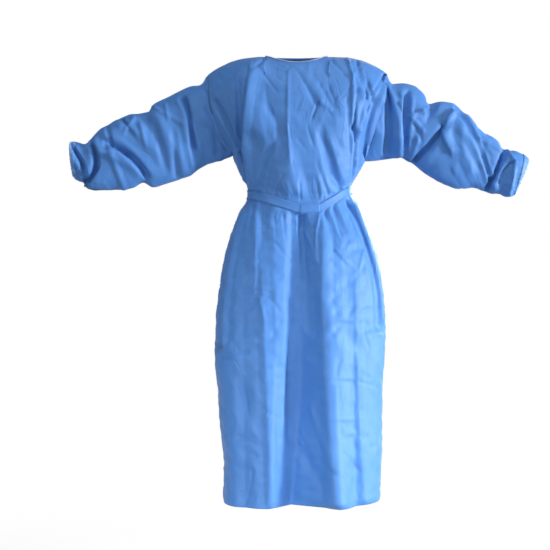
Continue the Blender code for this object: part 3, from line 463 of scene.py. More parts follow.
BACK_CREASES = (
    (-118, -40, -132, -340, 8, 9, 20, 3, 4, 0.6),
    (132, -44, 140, -340, -8, 20, 9, 3, 4, 0.6),
    (-60, -60, -64, -340, 0, 30, 30, -2, -3, 0.9),
    (-152, -150, -60, -260, 0, 14, 14, -3, -2, 0.5),
    (150, -140, 66, -250, 0, 14, 14, -3, -2, 0.5),
    (-90, -352, -76, -240, 2, 8, 9, -5, -2, 0.6),
    (84, -352, 70, -236, 2, 9, 8, -5, -2, 0.6),
    (-52, -350, -46, -290, 0, 6, 7, -4, -1, 0.6),
    (52, -350, 48, -280, 0, 6, 7, -4, -1, 0.6),
    (-120, -354, -128, -290, 0, 6, 7, -4, -1, 0.6),
    (122, -354, 128, -286, 0, 6, 7, -4, -1, 0.6),
    (-104, -420, -112, -1230, 4, 24, 24, 4, 7, 0.95),
    (-22, -420, -14, -1230, 0, 26, 26, -3, -5, 0.95),
    (66, -420, 74, -1230, 0, 24, 26, 4, 6, 0.95),
    (150, -500, 166, -1230, 0, 20, 24, 3, 5, 0.95),
    (-70, -404, -62, -560, 0, 8, 10, -7, -2, 0.6),
    (34, -404, 40, -540, 0, 8, 9, -6, -2, 0.6),
    (110, -404, 126, -520, 0, 8, 9, -7, -2, 0.6),
    (-128, -404, -146, -520, 0, 8, 9, -7, -2, 0.6),
    (-176, -700, -90, -720, 0, 8, 8, -2, -2, 0.7),
    (60, -680, 150, -700, 0, 8, 8, -2, -2, 0.7),
    (-160, -930, -80, -980, 0, 9, 9, -2, -2, 0.7),
    (70, -960, 130, -930, 0, 8, 8, 2, 2, 0.7),
    (-60, -1080, 10, -1150, 0, 10, 10, -3, -2, 0.6),
    (110, -1100, 170, -1170, 0, 10, 10, -3, -2, 0.6),
    (-316, -110, -296, -270, 3, 8, 9, -6, -5, 0.6),
    (-392, -142, -318, -262, 6, 10, 12, -4, -3, 0.8),
    (-352, -140, -262, -246, 4, 9, 11, -4, -4, 0.8),
    (-300, -290, -372, -214, 0, 9, 10, 3, 2, 0.8),
    (-500, -184, -404, -282, 8, 9, 12, -4, -4, 0.8),
    (-470, -352, -384, -286, 0, 10, 9, -4, -3, 0.8),
    (-446, -180, -466, -232, 0, 8, 9, 3, 2, 0.8),
    (-560, -226, -452, -326, 6, 9, 11, -4, -3, 0.8),
    (-546, -346, -500, -300, 0, 9, 9, -3, -3, 0.8),
    (-582, -246, -588, -350, 12, 7, 8, -7, -7, 0.6),
    (-630, -250, -600, -344, 6, 6, 6, -5, -5, 0.6),
    (286, -106, 268, -266, 0, 9, 9, -6, -5, 0.6),
    (352, -120, 296, -226, 6, 10, 12, -4, -3, 0.8),
    (318, -110, 250, -206, 4, 9, 11, -4, -4, 0.8),
    (276, -272, 340, -206, 0, 9, 10, 3, 2, 0.8),
    (476, -178, 372, -280, 8, 9, 12, -4, -4, 0.8),
    (430, -344, 348, -284, 0, 10, 9, -4, -3, 0.8),
    (418, -150, 440, -204, 0, 8, 9, 3, 2, 0.8),
    (534, -232, 424, -334, 6, 9, 11, -4, -3, 0.8),
    (510, -358, 466, -306, 0, 9, 9, -3, -3, 0.8),
    (566, -268, 530, -364, 4, 7, 7, -7, -7, 0.6),
    (596, -290, 566, -370, 0, 6, 6, -5, -4, 0.6),
)
CREASES = {"front": FRONT_CREASES, "back": BACK_CREASES}

# How much deeper the finer creases are pressed above the belt and below it, and how far the cloth has to
# face the front or the back for them to be whole
BODICE_CREASES = 2.0
SKIRT_CREASES = 1.5
CREASE_FACING = 0.5

# Small creases all over, as of cloth that was packed: how many in a grid as wide as the body with so many
# rows, their lengths, widths and depths, how they turn away from upright and bend, and how sharp they are
SMALL_CREASES = 150
SMALL_CREASE_ROWS = 250
SMALL_LENGTHS = (22 * MM, 85 * MM)
SMALL_WIDTHS = (4.5 * MM, 11 * MM)
SMALL_DEPTHS = (0.5 * MM, 1.7 * MM)
SMALL_TURN = 0.75
SMALL_BEND = 1.2
SMALL_SHARPNESS = 1.3
CREASE_EDGE_CALM = 14 * MM

# Facets of the stiff cloth: how wide and tall they are, how far their corners lie in or out, and how far
# they stray from an even net
FACETS = (((55 * MM, 110 * MM), 2.8 * MM), ((24 * MM, 60 * MM), 0.8 * MM))
FACET_STRAY = 0.42
FACET_MERGE = 1e-7
SKIRT_FACETS = 0.65
SEED = 7

# Loose cloth between its folds: a coarse grid of it grows a little and settles, held near its place
SETTLE_STEP = 3
SETTLE_FRAMES = 22
SETTLE_GROWTH = 0.0045
SETTLE_HOLD = 0.55
SETTLE_MOST = 9 * MM
SETTLE_GRAVITY = 0.15
HOLD_LEVELS = 20
LOOSE_CLOTH = {
    "quality": 4,
    "mass": 0.02,
    "tension_stiffness": 12,
    "compression_stiffness": 12,
    "shear_stiffness": 6,
    "bending_stiffness": 3.0,
    "bending_model": "ANGULAR",
    "vertex_group_mass": "held",
    "pin_stiffness": 0.12,
    "shrink_min": -SETTLE_GROWTH,
}

# Finishes: the two colours that the cloth clouds between and that of its bonded points, then the threads
BLUE = ((0.046, 0.184, 0.515), (0.053, 0.204, 0.555), (0.028, 0.136, 0.43))
DOUBLED_BLUE = ((0.046, 0.184, 0.515), (0.053, 0.204, 0.550), (0.028, 0.136, 0.43))
PALE_BLUE = ((0.08, 0.23, 0.58), (0.11, 0.28, 0.64), (0.05, 0.17, 0.48))
WHITE_THREAD = (0.78, 0.84, 0.92)
BLUE_THREAD = (0.07, 0.20, 0.54)
THREAD_SHADE = 0.8
CLOUD_SIZE = 35 * MM
POINT_DARKNESS = 0.22
POINT_DEPTH = 0.05 * MM
FIBRE_HEIGHT = 0.06 * MM

# Fine crumples: each net's density, its weight and its turn, how nets are drawn out, and how lines bend
CRUMPLE_NETS = ((0.8, 0.6, 0.25), (1.7, -0.8, -0.45), (2.9, 0.6, 0.9))
CRUMPLE_STRETCH = (1.0, 0.4, 1.0)
CRUMPLE_BEND = 0.035

# Seams, and the puckers beside them
SEAM_DIP = 1.6 * MM
SEAM_REACH = 4.5 * MM
PUCKER_LENGTH = 11 * MM
PUCKER_DEPTH = 0.7 * MM
PUCKER_PLACE = 9 * MM
PUCKER_REACH = 7 * MM
PUCKER_WANDER = 2.2
PUCKER_WANDER_RUN = 37 * MM

# Stitches: the thread's half thickness at each place, how far apart the stitches are, and how far off the
# cloth their line lies
THREAD = 0.35 * MM
THREAD_PROUD = 1.4
STITCH_SHARE = 0.62
OVERLOCK_LIFT = 0.4 * MM
BELT_THREAD, BELT_STITCH, BELT_STITCH_LIFT = THREAD * 0.7, 3.4 * MM, 0.25 * MM
PATCH_THREAD, PATCH_STITCH, PATCH_STITCH_LIFT = THREAD * 0.8, 3.0 * MM, 0.3 * MM
TAB_STITCH, TAB_STITCH_LIFT = 2.8 * MM, 0.3 * MM
NECK_STITCH, NECK_STITCH_LIFT = 3.6 * MM, 0.3 * MM
NECK_OVERLOCK_THREAD, NECK_OVERLOCK = THREAD * 2.5, 2.0 * MM
CUFF_OVERLOCK = 2.6 * MM
SEAM_THREAD, SEAM_STITCH, SEAM_STITCH_LIFT = THREAD * 0.45, 4.2 * MM, 0.05 * MM
SEAM_STITCH_COLUMN = 2


def columns_of(names, rows):
    """A table in millimetres as one array of metres for each named column."""
    return {name: np.array([row[i] for row in rows], float) * MM for i, name in enumerate(names)}


def smooth_step(share):
    """A share from 0 to 1 that starts and ends gently."""
    share = np.clip(share, 0.0, 1.0)
    return share * share * (3 - 2 * share)


def curve(places, values, at):
    """A smooth curve through a table's column that never overshoots it, read at some places."""
    steps = np.diff(places)
    slopes = np.diff(values) / steps
    product = slopes[:-1] * slopes[1:]
    middle = np.where(product > 0, 2 * product / np.where(product > 0, slopes[:-1] + slopes[1:], 1), 0)
    tangents = np.concatenate([slopes[:1], middle, slopes[-1:]])
    at = np.clip(at, places[0], places[-1])
    i = np.clip(np.searchsorted(places, at, side="right") - 1, 0, len(steps) - 1)
    t = (at - places[i]) / steps[i]
    from_start = values[i] * (1 + 2 * t) * (1 - t) ** 2 + tangents[i] * steps[i] * t * (1 - t) ** 2
    return from_start + values[i + 1] * t * t * (3 - 2 * t) + tangents[i + 1] * steps[i] * t * t * (t - 1)


BODY = columns_of(SECTION_NAMES, BODY_SECTIONS)
CHEST = columns_of(CHEST_NAMES, CHEST_DEPTHS)
FOLDS = {"front": FRONT_FOLDS, "back": BACK_FOLDS}
OUTWARD = {"front": -1, "back": 1}
SKIRT_HEIGHTS = (-1228, -1150, -1073, -995, -917, -838, -760, -682, -610, -545, -492, -450, -421)
BODICE_HEIGHTS = (-350, -322, -297)
COLUMNS = BODY_COLUMNS * FINE
SHOULDER = SHOULDER_COLUMNS * FINE
LAP = BACK_LAP_COLUMNS * FINE
MIDDLE = COLUMNS // 2


def crease_depth(fold, x, z):
    """How far one fold presses the cloth outwards at points seen from the front."""
    start = np.array([fold["x1"], fold["z1"]]) * MM
    run = np.array([fold["x2"], fold["z2"]]) * MM - start
    length = np.linalg.norm(run)
    run = run / length
    along = ((x - start[0]) * run[0] + (z - start[1]) * run[1]) / length
    share = np.clip(along, 0.0, 1.0)
    # A line that runs down the garment has its left flank where this is negative
    aside = (z - start[1]) * run[0] - (x - start[0]) * run[1]
    aside = aside - fold["bow"] * MM * 4 * share * (1 - share)
    left = fold["left1"] + (fold["left2"] - fold["left1"]) * share
    right = fold["right1"] + (fold["right2"] - fold["right1"]) * share
    away = np.clip(np.abs(aside) / (np.where(aside < 0, left, right) * MM), 0, 1)
    across = (1 - fold["crisp"]) * (0.5 + 0.5 * np.cos(math.pi * away)) + fold["crisp"] * (1 - away)
    past = np.abs(along - share) * length / ((left + right) * MM)
    depth = fold["depth1"] + (fold["depth2"] - fold["depth1"]) * share
    return depth * MM * across * smooth_step(1 - past)


def fold_depth(side, x, z):
    """The main folds of one side, all together."""
    total = np.zeros(np.broadcast(x, z).shape)
    for row in FOLDS[side].values():
        fold = dict(zip(FOLD_NAMES, row))
        fold["crisp"] = min(1.0, fold["crisp"] + FOLD_CRISPNESS)
        total += crease_depth(fold, x, z)
    return total


def fine_creases(side, x, z):
    """The finer creases of one side, all together."""
    total = np.zeros(x.shape)
    for row in CREASES[side]:
        fold = dict(zip(CREASE_NAMES, row))
        fold.update(left1=fold["left"], left2=fold["left"], right1=fold["right"], right2=fold["right"])
        total += crease_depth(fold, x, z)
    return total


def outward_normals(x, y, sign):
    """Level directions out of a row of points that runs from left to right."""
    across, along = np.gradient(x), np.gradient(y)
    size = np.hypot(across, along)
    return -sign * along / size, sign * across / size


def section_curve(left, right, depth, roundness):
    """Half of a level section, from the left seam to the right one: x and how far it stands out."""
    turn = np.linspace(0, math.pi, CURVE_STEPS)
    power = 2 / roundness
    across = np.sign(np.cos(turn)) * np.abs(np.cos(turn)) ** power
    x = (left + right) / 2 - (right - left) / 2 * across
    out = depth * np.clip(np.sin(turn), 0, 1) ** power
    run = np.concatenate([[0], np.cumsum(np.hypot(np.diff(x), np.diff(out)))])
    at = np.linspace(0, run[-1], COLUMNS + 1)
    return np.interp(at, run, x), np.interp(at, run, out)


def belt_shift(side, x, left, right):
    """How far the belt lies above its height at the seams: it dips to the patch, and rises behind."""
    if side == "back":
        share = 1 - np.abs(2 * (x - left) / (right - left) - 1)
        return BELT_RISE_BACK * smooth_step(share)
    reach = np.where(x < PATCH_CENTRE, PATCH_CENTRE - left, right - PATCH_CENTRE)
    share = 1 - (np.abs(x - PATCH_CENTRE) - PATCH_WIDTH / 2) / (reach - PATCH_WIDTH / 2)
    share = np.clip(share, 0, 1)
    return BELT_DIP_FRONT * (BELT_STRAIGHT * share + (1 - BELT_STRAIGHT) * smooth_step(share))


def body_row(side, height, folded=True):
    """One row of the body below the underarm, from the left seam to the right one."""
    size = {name: float(curve(BODY["height"], BODY[name], height)) for name in SECTION_NAMES[1:]}
    low = smooth_step((BELT_HEIGHT - height) / ROUNDNESS_RUN)
    roundness = SECTION_ROUNDNESS[0] + (SECTION_ROUNDNESS[1] - SECTION_ROUNDNESS[0]) * low
    x, out = section_curve(size["left"], size["right"], size[side], roundness)
    share = (x - size["left"]) / (size["right"] - size["left"])
    near_belt = math.exp(-(((height - BELT_HEIGHT) / BELT_REACH) ** 2))
    z = height + size["tilt"] * share + belt_shift(side, x, size["left"], size["right"]) * near_belt
    y = OUTWARD[side] * out
    if folded:
        free = smooth_step((abs(height - BELT_HEIGHT) - BELT_WIDTH / 2) / BELT_CALM)
        depth = fold_depth(side, x, z) * free * smooth_step(out / size[side] / SEAM_CALM)
        out_x, out_y = outward_normals(x, y, OUTWARD[side])
        x, y = x + out_x * depth, y + out_y * depth
    return np.stack([x, y, z], axis=1)


def ring_turn():
    """Angles down half a ring, from its highest point, at the solids' own levels and between them."""
    share = np.linspace(0, 1, ARMHOLE_STEPS * FINE + 1)
    return np.interp(share, [0, 1 / ARMHOLE_STEPS, 1], [0, TOP_STEP_ANGLE, math.pi])


def ring_points(ring, turn, side):
    """Points round a sleeve's ring, at angles counted from its highest point."""
    top = np.array([ring["top_x"], 0.0, ring["top_z"]])
    bottom = np.array([ring["bottom_x"], 0.0, ring["bottom_z"]])
    depth = ring[side] * (1 - RING_TAPER * (1 - np.cos(turn)) / 2) * np.sin(turn)
    points = (top + bottom) / 2 + np.cos(turn)[:, None] * (top - bottom) / 2
    points[:, 0] += ring["bow"] * np.sin(turn) ** 2 * (side == "front")
    points[:, 1] = OUTWARD[side] * depth
    return points


def armhole(rings, side):
    """The armhole's points on one side of the body, from the underarm up to the shoulder."""
    first = {name: column[0] for name, column in columns_of(RING_NAMES, rings).items()}
    return ring_points(first, ring_turn()[::-1], side)


def neck_edge(side):
    """The body's top edge on one side: left shoulder, neckline and right shoulder."""
    turn = np.linspace(0, math.pi, COLUMNS - 2 * SHOULDER + 1)
    rise = -NECK_DIP if side == "front" else NECK_RISE
    depth = NECK_FRONT if side == "front" else NECK_BACK
    x = NECK_CENTRE - NECK_HALF_WIDTH * np.cos(turn)
    neck = np.stack([x, OUTWARD[side] * depth * np.sin(turn), rise * np.sin(turn) ** 2], axis=1)
    neck[[0, -1], 1] = 0.0
    shoulders = []
    for end, rings in ((neck[0], LEFT_RINGS), (neck[-1], RIGHT_RINGS)):
        tip_x, tip_z = rings[0][0] * MM, rings[0][1] * MM
        share = np.linspace(1, 0, SHOULDER + 1)[:-1]
        x = end[0] + (tip_x - end[0]) * share
        shoulders.append(np.stack([x, np.zeros(len(x)), tip_z * share**SHOULDER_DROP_POWER], axis=1))
    return np.concatenate([shoulders[0], neck, shoulders[1][::-1]])


def chest_row(side, level, ends, floor, top):
    """A row of the chest at a share of the way up from the underarm, before its folds."""
    evenly = np.linspace(0, 1, COLUMNS + 1)
    blend = smooth_step(level / CHEST_BLEND)
    under = (floor[:, 0] - floor[0, 0]) / (floor[-1, 0] - floor[0, 0])
    swell = 1 - (1 - np.clip(np.minimum(evenly, 1 - evenly) / CHEST_CORNER, 0, 1)) ** 2
    across = under + (evenly - under) * blend
    full = np.abs(floor[:, 1]) / np.abs(floor[:, 1]).max()
    full = full + (swell - full) * blend
    inside = np.sqrt(np.clip(np.sin(math.pi * evenly), 0, 1))
    end_level = (ends[:, 2] - floor[[0, -1], 2]) / (top[[0, -1], 2] - floor[[0, -1], 2])
    end_level = np.where(evenly < 0.5, end_level[0], end_level[1])
    z = floor[:, 2] + (top[:, 2] - floor[:, 2]) * (end_level + (level - end_level) * inside)
    x = ends[0, 0] + (ends[1, 0] - ends[0, 0]) * across
    x = x + (top[:, 0] - x) * smooth_step(level)
    arm = np.where(evenly < 0.5, np.abs(ends[0, 1]), np.abs(ends[1, 1]))
    out = arm + (curve(CHEST["height"], CHEST[side], z) - arm) * full
    up = np.clip((top[:, 2] - z) / NECK_ROUND, 0, 1)
    neckness = np.abs(top[:, 1]) / np.abs(top[:, 1]).max()
    rounding = CHEST_ROUNDING[0] + (CHEST_ROUNDING[1] - CHEST_ROUNDING[0]) * neckness
    rounded = (1 - (1 - up) ** 2) ** rounding
    out = np.abs(top[:, 1]) + (out - np.abs(top[:, 1])) * rounded
    out[[0, -1]] = np.abs(ends[:, 1])
    return np.stack([x, OUTWARD[side] * out, z], axis=1)


def chest_rows(side):
    """The body's rows above the underarm, which end on the two armholes."""
    floor, top = body_row(side, BODY["height"][-1], folded=False), neck_edge(side)
    left, right = armhole(LEFT_RINGS, side), armhole(RIGHT_RINGS, side)
    evenly = np.linspace(0, 1, COLUMNS + 1)
    within = smooth_step(np.minimum(evenly, 1 - evenly) / CHEST_CALM)
    steps = len(left) - 1
    rows = []
    for j in range(1, steps):
        ends = np.stack([left[j], right[j]])
        if j < steps - FINE:
            row = chest_row(side, 1 - (1 - j / steps) ** CHEST_CROWDING, ends, floor, top)
        else:
            edge = chest_row(side, TOP_LEVEL, ends, floor, top) - top
            edge = edge / np.linalg.norm(edge, axis=1)[:, None]
            row = top + edge * BINDING_WIDTH * (steps - j) / FINE
        below = smooth_step((top[:, 2] - row[:, 2]) / NECK_CALM)
        row[:, 1] += OUTWARD[side] * fold_depth(side, row[:, 0], row[:, 2]) * below * within
        row[0], row[-1] = ends
        rows.append(row)
    top[0], top[-1] = left[-1], right[-1]
    return rows + [top]


def fine_heights():
    """Heights of the body's rows below the underarm, and the numbers of the rows at the belt's edges."""
    belt = [BELT_HEIGHT - BELT_WIDTH / 2, BELT_HEIGHT + BELT_WIDTH / 2]
    marks = [h * MM for h in SKIRT_HEIGHTS] + belt + [h * MM for h in BODICE_HEIGHTS] + [BODY["height"][-1]]
    heights = []
    for low, high in zip(marks, marks[1:]):
        heights.extend(np.linspace(low, high, math.ceil((high - low) / ROW_SPACING) + 1)[:-1])
    heights.append(marks[-1])
    return heights, [int(np.argmin(np.abs(np.array(heights) - edge))) for edge in belt]


def body_side(side):
    """The whole front or back as one grid, from the hem up and from left to right."""
    rows = [body_row(side, height) for height in fine_heights()[0]]
    return np.array(rows + chest_rows(side))


def sleeve(rings):
    """A sleeve as a grid of rings, each from its lowest point round the front and the back."""
    table = columns_of(RING_NAMES, rings)
    middle_x = (table["top_x"] + table["bottom_x"]) / 2
    middle_z = (table["top_z"] + table["bottom_z"]) / 2
    places = np.concatenate([[0], np.cumsum(np.hypot(np.diff(middle_x), np.diff(middle_z)))])
    stations = np.linspace(0, places[-1], round(places[-1] / RING_SPACING) + 1)
    down = ring_turn()[::-1]
    calm = np.clip(np.sin(down), 0, 1) ** SLEEVE_CALM
    grid = []
    for station in stations:
        ring = {name: float(curve(places, column, station)) for name, column in table.items()}
        to_end = places[-1] - station + CUFF_LIVE
        seam = smooth_step(station / SLEEVE_END_CALM) * smooth_step(to_end / SLEEVE_END_CALM)
        halves = []
        for side in ("front", "back"):
            half = ring_points(ring, down, side)
            depth = fold_depth(side, half[:, 0], half[:, 2]) * calm * seam
            half[:, 1] += OUTWARD[side] * depth
            halves.append(half)
        grid.append(np.concatenate([halves[0], halves[1][-2:0:-1]]))
    return np.array(grid)


def beside(grid, closed):
    """The columns of a grid that have a next one, and those next ones; a closed grid goes round."""
    if closed:
        return grid, np.roll(grid, -1, axis=1)
    return grid[:, :-1], grid[:, 1:]


def grid_faces(index, closed):
    """The four corners of each face of a grid, from the numbers of its points."""
    before, after = beside(index, closed)
    return np.stack([before[:-1], after[:-1], after[1:], before[1:]], axis=-1).reshape(-1, 4)


def by_grid(values, grids):
    """Values for the points of all the grids in one row, as one array for each grid."""
    ends = np.cumsum([grid.shape[0] * grid.shape[1] for grid in grids])
    parts = np.split(values, ends[:-1])
    return [part.reshape(*grid.shape[:2], *values.shape[1:]) for part, grid in zip(parts, grids)]


def face_normals(grid, closed):
    """Normals of a grid's faces, out of the cloth."""
    before, after = beside(grid, closed)
    across = after[:-1] - before[:-1] + after[1:] - before[1:]
    up = before[1:] - before[:-1] + after[1:] - after[:-1]
    return np.cross(across, up)


def joined_points(grids):
    """For each point of the grids, the number of the one point that it is once the seams are joined."""
    flat = np.concatenate([grid.reshape(-1, 3) for grid in grids])
    places = np.round(flat / SAME_PLACE).astype(int)
    _, first, same = np.unique(places, axis=0, return_index=True, return_inverse=True)
    return flat, first, same.ravel()


def point_normals(grids, closed, same):
    """Point normals of every grid, shared along the seams."""
    total = np.zeros((same.max() + 1, 3))
    for grid, loop, index in zip(grids, closed, by_grid(same, grids)):
        faces = face_normals(grid, loop)
        before, after = beside(index, loop)
        for corner in (before[:-1], after[:-1], before[1:], after[1:]):
            np.add.at(total, corner.ravel(), faces.reshape(-1, 3))
    total /= np.linalg.norm(total, axis=1)[:, None]
    return by_grid(total[same], grids)


def distances(grid):
    """How far each point lies along its row and its column, in metres."""
    across = np.linalg.norm(np.diff(grid, axis=1), axis=2)
    across = np.concatenate([np.zeros((len(grid), 1)), np.cumsum(across, axis=1)], axis=1)
    up = np.linalg.norm(np.diff(grid, axis=0), axis=2)
    up = np.concatenate([np.zeros((1, grid.shape[1])), np.cumsum(up, axis=0)], axis=0)
    return across, up


def seen(grid):
    """Where points lie in the picture, as x and z in the plane of the side seams."""
    scale = CAMERA_PLACE[1] / (CAMERA_PLACE[1] - grid[..., 1])
    x = CAMERA_PLACE[0] + (grid[..., 0] - CAMERA_PLACE[0]) * scale
    return x, CAMERA_PLACE[2] + (grid[..., 2] - CAMERA_PLACE[2]) * scale


def small_creases(grid, calm, rng):
    """Short creases at chance places and angles, pressed in or out."""
    across, up = distances(grid)
    total = np.zeros(across.shape)
    share = grid.shape[0] * grid.shape[1] / (COLUMNS * SMALL_CREASE_ROWS)
    for _ in range(round(SMALL_CREASES * share)):
        row, column = rng.integers(grid.shape[0]), rng.integers(grid.shape[1])
        angle = rng.normal(math.pi / 2, SMALL_TURN)
        run = np.array([math.cos(angle), math.sin(angle)])
        length = rng.uniform(*SMALL_LENGTHS)
        width = rng.uniform(*SMALL_WIDTHS)
        depth = rng.uniform(*SMALL_DEPTHS) * rng.choice([-1, 1])
        u, v = across - across[row, column], up - up[row, column]
        along = u * run[0] + v * run[1]
        aside = np.abs(u * run[1] - v * run[0] + along**2 * rng.normal(0, SMALL_BEND))
        ends = smooth_step((length - np.abs(along) * 2) / length * 2)
        total += depth * ends * (1 - np.clip(aside / width, 0, 1)) ** SMALL_SHARPNESS
    return total * calm


def facets(grid, closed, calm, rng, size, depth):
    """Flat facets that meet in sharp lines, as of stiff thin cloth that was packed."""
    across, up = distances(grid)
    columns, rows = (int(math.ceil(span / step)) + 2 for span, step in zip((across.max(), up.max()), size))
    places = np.stack(np.meshgrid(np.arange(columns), np.arange(rows)), axis=-1).reshape(-1, 2) - 0.5
    places = (places + rng.uniform(-FACET_STRAY, FACET_STRAY, places.shape)) * size
    heights = rng.normal(0, depth, len(places))
    found = delaunay_2d_cdt([Vector(place) for place in places], [], [], 0, FACET_MERGE)
    total = np.zeros(across.shape)
    for corners in found[2]:
        a, b, c = (places[found[3][corner][0]] for corner in corners)
        whole = (b[0] - a[0]) * (c[1] - a[1]) - (c[0] - a[0]) * (b[1] - a[1])
        second = ((across - a[0]) * (c[1] - a[1]) - (c[0] - a[0]) * (up - a[1])) / whole
        third = ((b[0] - a[0]) * (up - a[1]) - (across - a[0]) * (b[1] - a[1])) / whole
        inside = (second >= 0) & (third >= 0) & (second + third <= 1)
        first, next_one, last = (heights[found[3][corner][0]] for corner in corners)
        total[inside] = (first + second * (next_one - first) + third * (last - first))[inside]
    if closed:
        total = total * smooth_step(np.minimum(across, across.max() - across) / CREASE_EDGE_CALM)
    return total * calm


def edge_calm(grid, closed):
    """Zero on the edges of a grid, one a little way in."""
    across, up = distances(grid)
    inside = np.minimum(up, up[-1] - up)
    if not closed:
        inside = np.minimum(inside, np.minimum(across, across[:, -1:] - across))
    return smooth_step(inside / CREASE_EDGE_CALM)


def seam_dips(grid, edges):
    """How far the cloth is drawn in along its seams, with the puckers that the stitches make."""
    across, up = distances(grid)
    ends = {
        "first_row": (up, across),
        "last_row": (up[-1] - up, across),
        "first_column": (across, up),
        "last_column": (across[:, -1:] - across, up),
    }
    total = np.zeros(across.shape)
    for edge in edges:
        away, along = ends[edge]
        total -= SEAM_DIP * np.exp(-((away / SEAM_REACH) ** 2))
        wander = PUCKER_WANDER * np.sin(along / PUCKER_WANDER_RUN)
        pucker = np.sin(2 * math.pi * along / PUCKER_LENGTH + wander)
        total += PUCKER_DEPTH * pucker * np.exp(-(((away - PUCKER_PLACE) / PUCKER_REACH) ** 2))
    return total


def placed(name, data):
    """A new object in the scene."""
    thing = bpy.data.objects.new(name, data)
    bpy.context.scene.collection.objects.link(thing)
    return thing


def settled(grids, closed, hold):
    """The grids after a short simulation of loose cloth that is held near its place."""
    coarse = [grid[::SETTLE_STEP, ::SETTLE_STEP] for grid in grids]
    flat, first, same = joined_points(coarse)
    faces = [grid_faces(index, loop) for index, loop in zip(by_grid(same, coarse), closed)]
    mesh = bpy.data.meshes.new("loose_cloth")
    mesh.from_pydata(flat[first].tolist(), [], np.concatenate(faces).tolist())
    cloth = placed("loose_cloth", mesh)
    held = cloth.vertex_groups.new(name="held")
    weights = np.concatenate([share[::SETTLE_STEP, ::SETTLE_STEP].ravel() for share in hold])[first]
    for level in range(HOLD_LEVELS + 1):
        near = np.nonzero(np.round(weights * HOLD_LEVELS).astype(int) == level)[0]
        if len(near):
            held.add(near.tolist(), level / HOLD_LEVELS, "REPLACE")
    settle = cloth.modifiers.new("settle", "CLOTH")
    for setting, value in LOOSE_CLOTH.items():
        setattr(settle.settings, setting, value)
    settle.settings.effector_weights.gravity = SETTLE_GRAVITY
    settle.collision_settings.use_collision = False
    settle.point_cache.frame_end = SETTLE_FRAMES
    for frame_number in range(1, SETTLE_FRAMES + 1):
        bpy.context.scene.frame_set(frame_number)
    after = cloth.evaluated_get(bpy.context.evaluated_depsgraph_get())
    places = np.zeros(len(first) * 3)
    after.data.vertices.foreach_get("co", places)
    bpy.data.objects.remove(cloth)
    bpy.context.scene.frame_set(1)
    moved = places.reshape(-1, 3) - flat[first]
    size = np.linalg.norm(moved, axis=1)[:, None]
    moved *= np.minimum(size, SETTLE_MOST) / np.maximum(size, 1e-9)
    shifts = by_grid(moved[same], coarse)
    return [grid + refined(shift, grid.shape, loop) for grid, shift, loop in zip(grids, shifts, closed)]


def between(values, at, axis):
    """Values on a coarse grid read at places along one axis, on a smooth curve through them."""
    last = values.shape[axis] - 1
    low = np.clip(np.floor(at).astype(int), 0, last - 1)
    shape = [1, 1, 1]
    shape[axis] = len(at)
    t = np.clip(at - low, 0, 1).reshape(shape)
    a, b, c, d = (np.take(values, np.clip(low + i, 0, last), axis=axis) for i in (-1, 0, 1, 2))
    return b + t * ((c - a) + t * ((2 * a - 5 * b + 4 * c - d) + t * (3 * b - a - 3 * c + d))) / 2


def refined(values, shape, closed):
    """Values on a coarse grid read on the fine one that it came from."""
    if closed:
        values = np.concatenate([values, values[:, :1]], axis=1)
    values = between(values, np.arange(shape[0]) / SETTLE_STEP, 0)
    return between(values, np.arange(shape[1]) / SETTLE_STEP, 1)


def surfaces():
    """The settled and creased grids of the front, the back and the two sleeves, with their normals."""
    names = ("front", "back", "left", "right")
    grids = [body_side("front"), body_side("back")[:, ::-1], sleeve(LEFT_RINGS), sleeve(RIGHT_RINGS)[:, ::-1]]
    closed = [False, False, True, True]
    rng = np.random.default_rng(SEED)
    calm = [edge_calm(grid, loop) for grid, loop in zip(grids, closed)]
    low, high = fine_heights()[1]
    for side in (0, 1):
        rows = np.arange(len(grids[side]))
        past = np.maximum(low - rows, rows - high) * ROW_SPACING
        calm[side] = calm[side] * smooth_step(past / BELT_CALM)[:, None]
    hold = [1 - (1 - SETTLE_HOLD) * share for share in calm]
    grids = settled(grids, closed, hold)
    _, _, same = joined_points(grids)
    normals = point_normals(grids, closed, same)
    side_seams, armhole_seam = ("first_column", "last_column"), ("first_row",)
    seams = {"front": side_seams, "back": side_seams, "left": armhole_seam, "right": armhole_seam}
    creased = []
    for name, grid, loop, normal, share in zip(names, grids, closed, normals, calm):
        x, z = seen(grid)
        depth = fine_creases("back", grid[..., 0], grid[..., 2])
        depth = np.where(normal[..., 1] < 0, fine_creases("front", x, z), depth)
        depth = depth * np.where(z > BELT_HEIGHT, BODICE_CREASES, SKIRT_CREASES)
        facing = smooth_step(np.abs(normal[..., 1]) / CREASE_FACING)
        depth = depth * facing * share + small_creases(grid, share, rng)
        for size, height in FACETS:
            less = np.where(grid[..., 2] < BELT_HEIGHT, SKIRT_FACETS, 1.0)
            depth += facets(grid, loop, share * less, rng, np.array(size), height)
        depth += seam_dips(grid, seams[name])
        creased.append(grid + normal * depth[..., None])
    normals = point_normals(creased, closed, same)
    creased[1], normals[1] = creased[1][:, ::-1], normals[1][:, ::-1]
    return dict(zip(names, creased)), dict(zip(names, normals))


def flat_places(grid, closed):
    """Where each point lies on the flat cloth, in metres: across from the middle, and up."""
    if closed:
        grid = np.concatenate([grid, grid[:, :1]], axis=1)
    across, up = distances(grid)
    middle = across.shape[1] // 2
    level = np.broadcast_to(up.mean(axis=1)[:, None], across.shape)
    return np.stack([across - across[:, middle : middle + 1], level], axis=-1)


def add_map(mesh, places):
    """The flat places of a grid's points as the UV map that the finishes read."""
    corners = [places[:-1, :-1], places[:-1, 1:], places[1:, 1:], places[1:, :-1]]
    mesh.uv_layers.new(name="cloth_map").data.foreach_set("uv", np.stack(corners, axis=2).ravel())


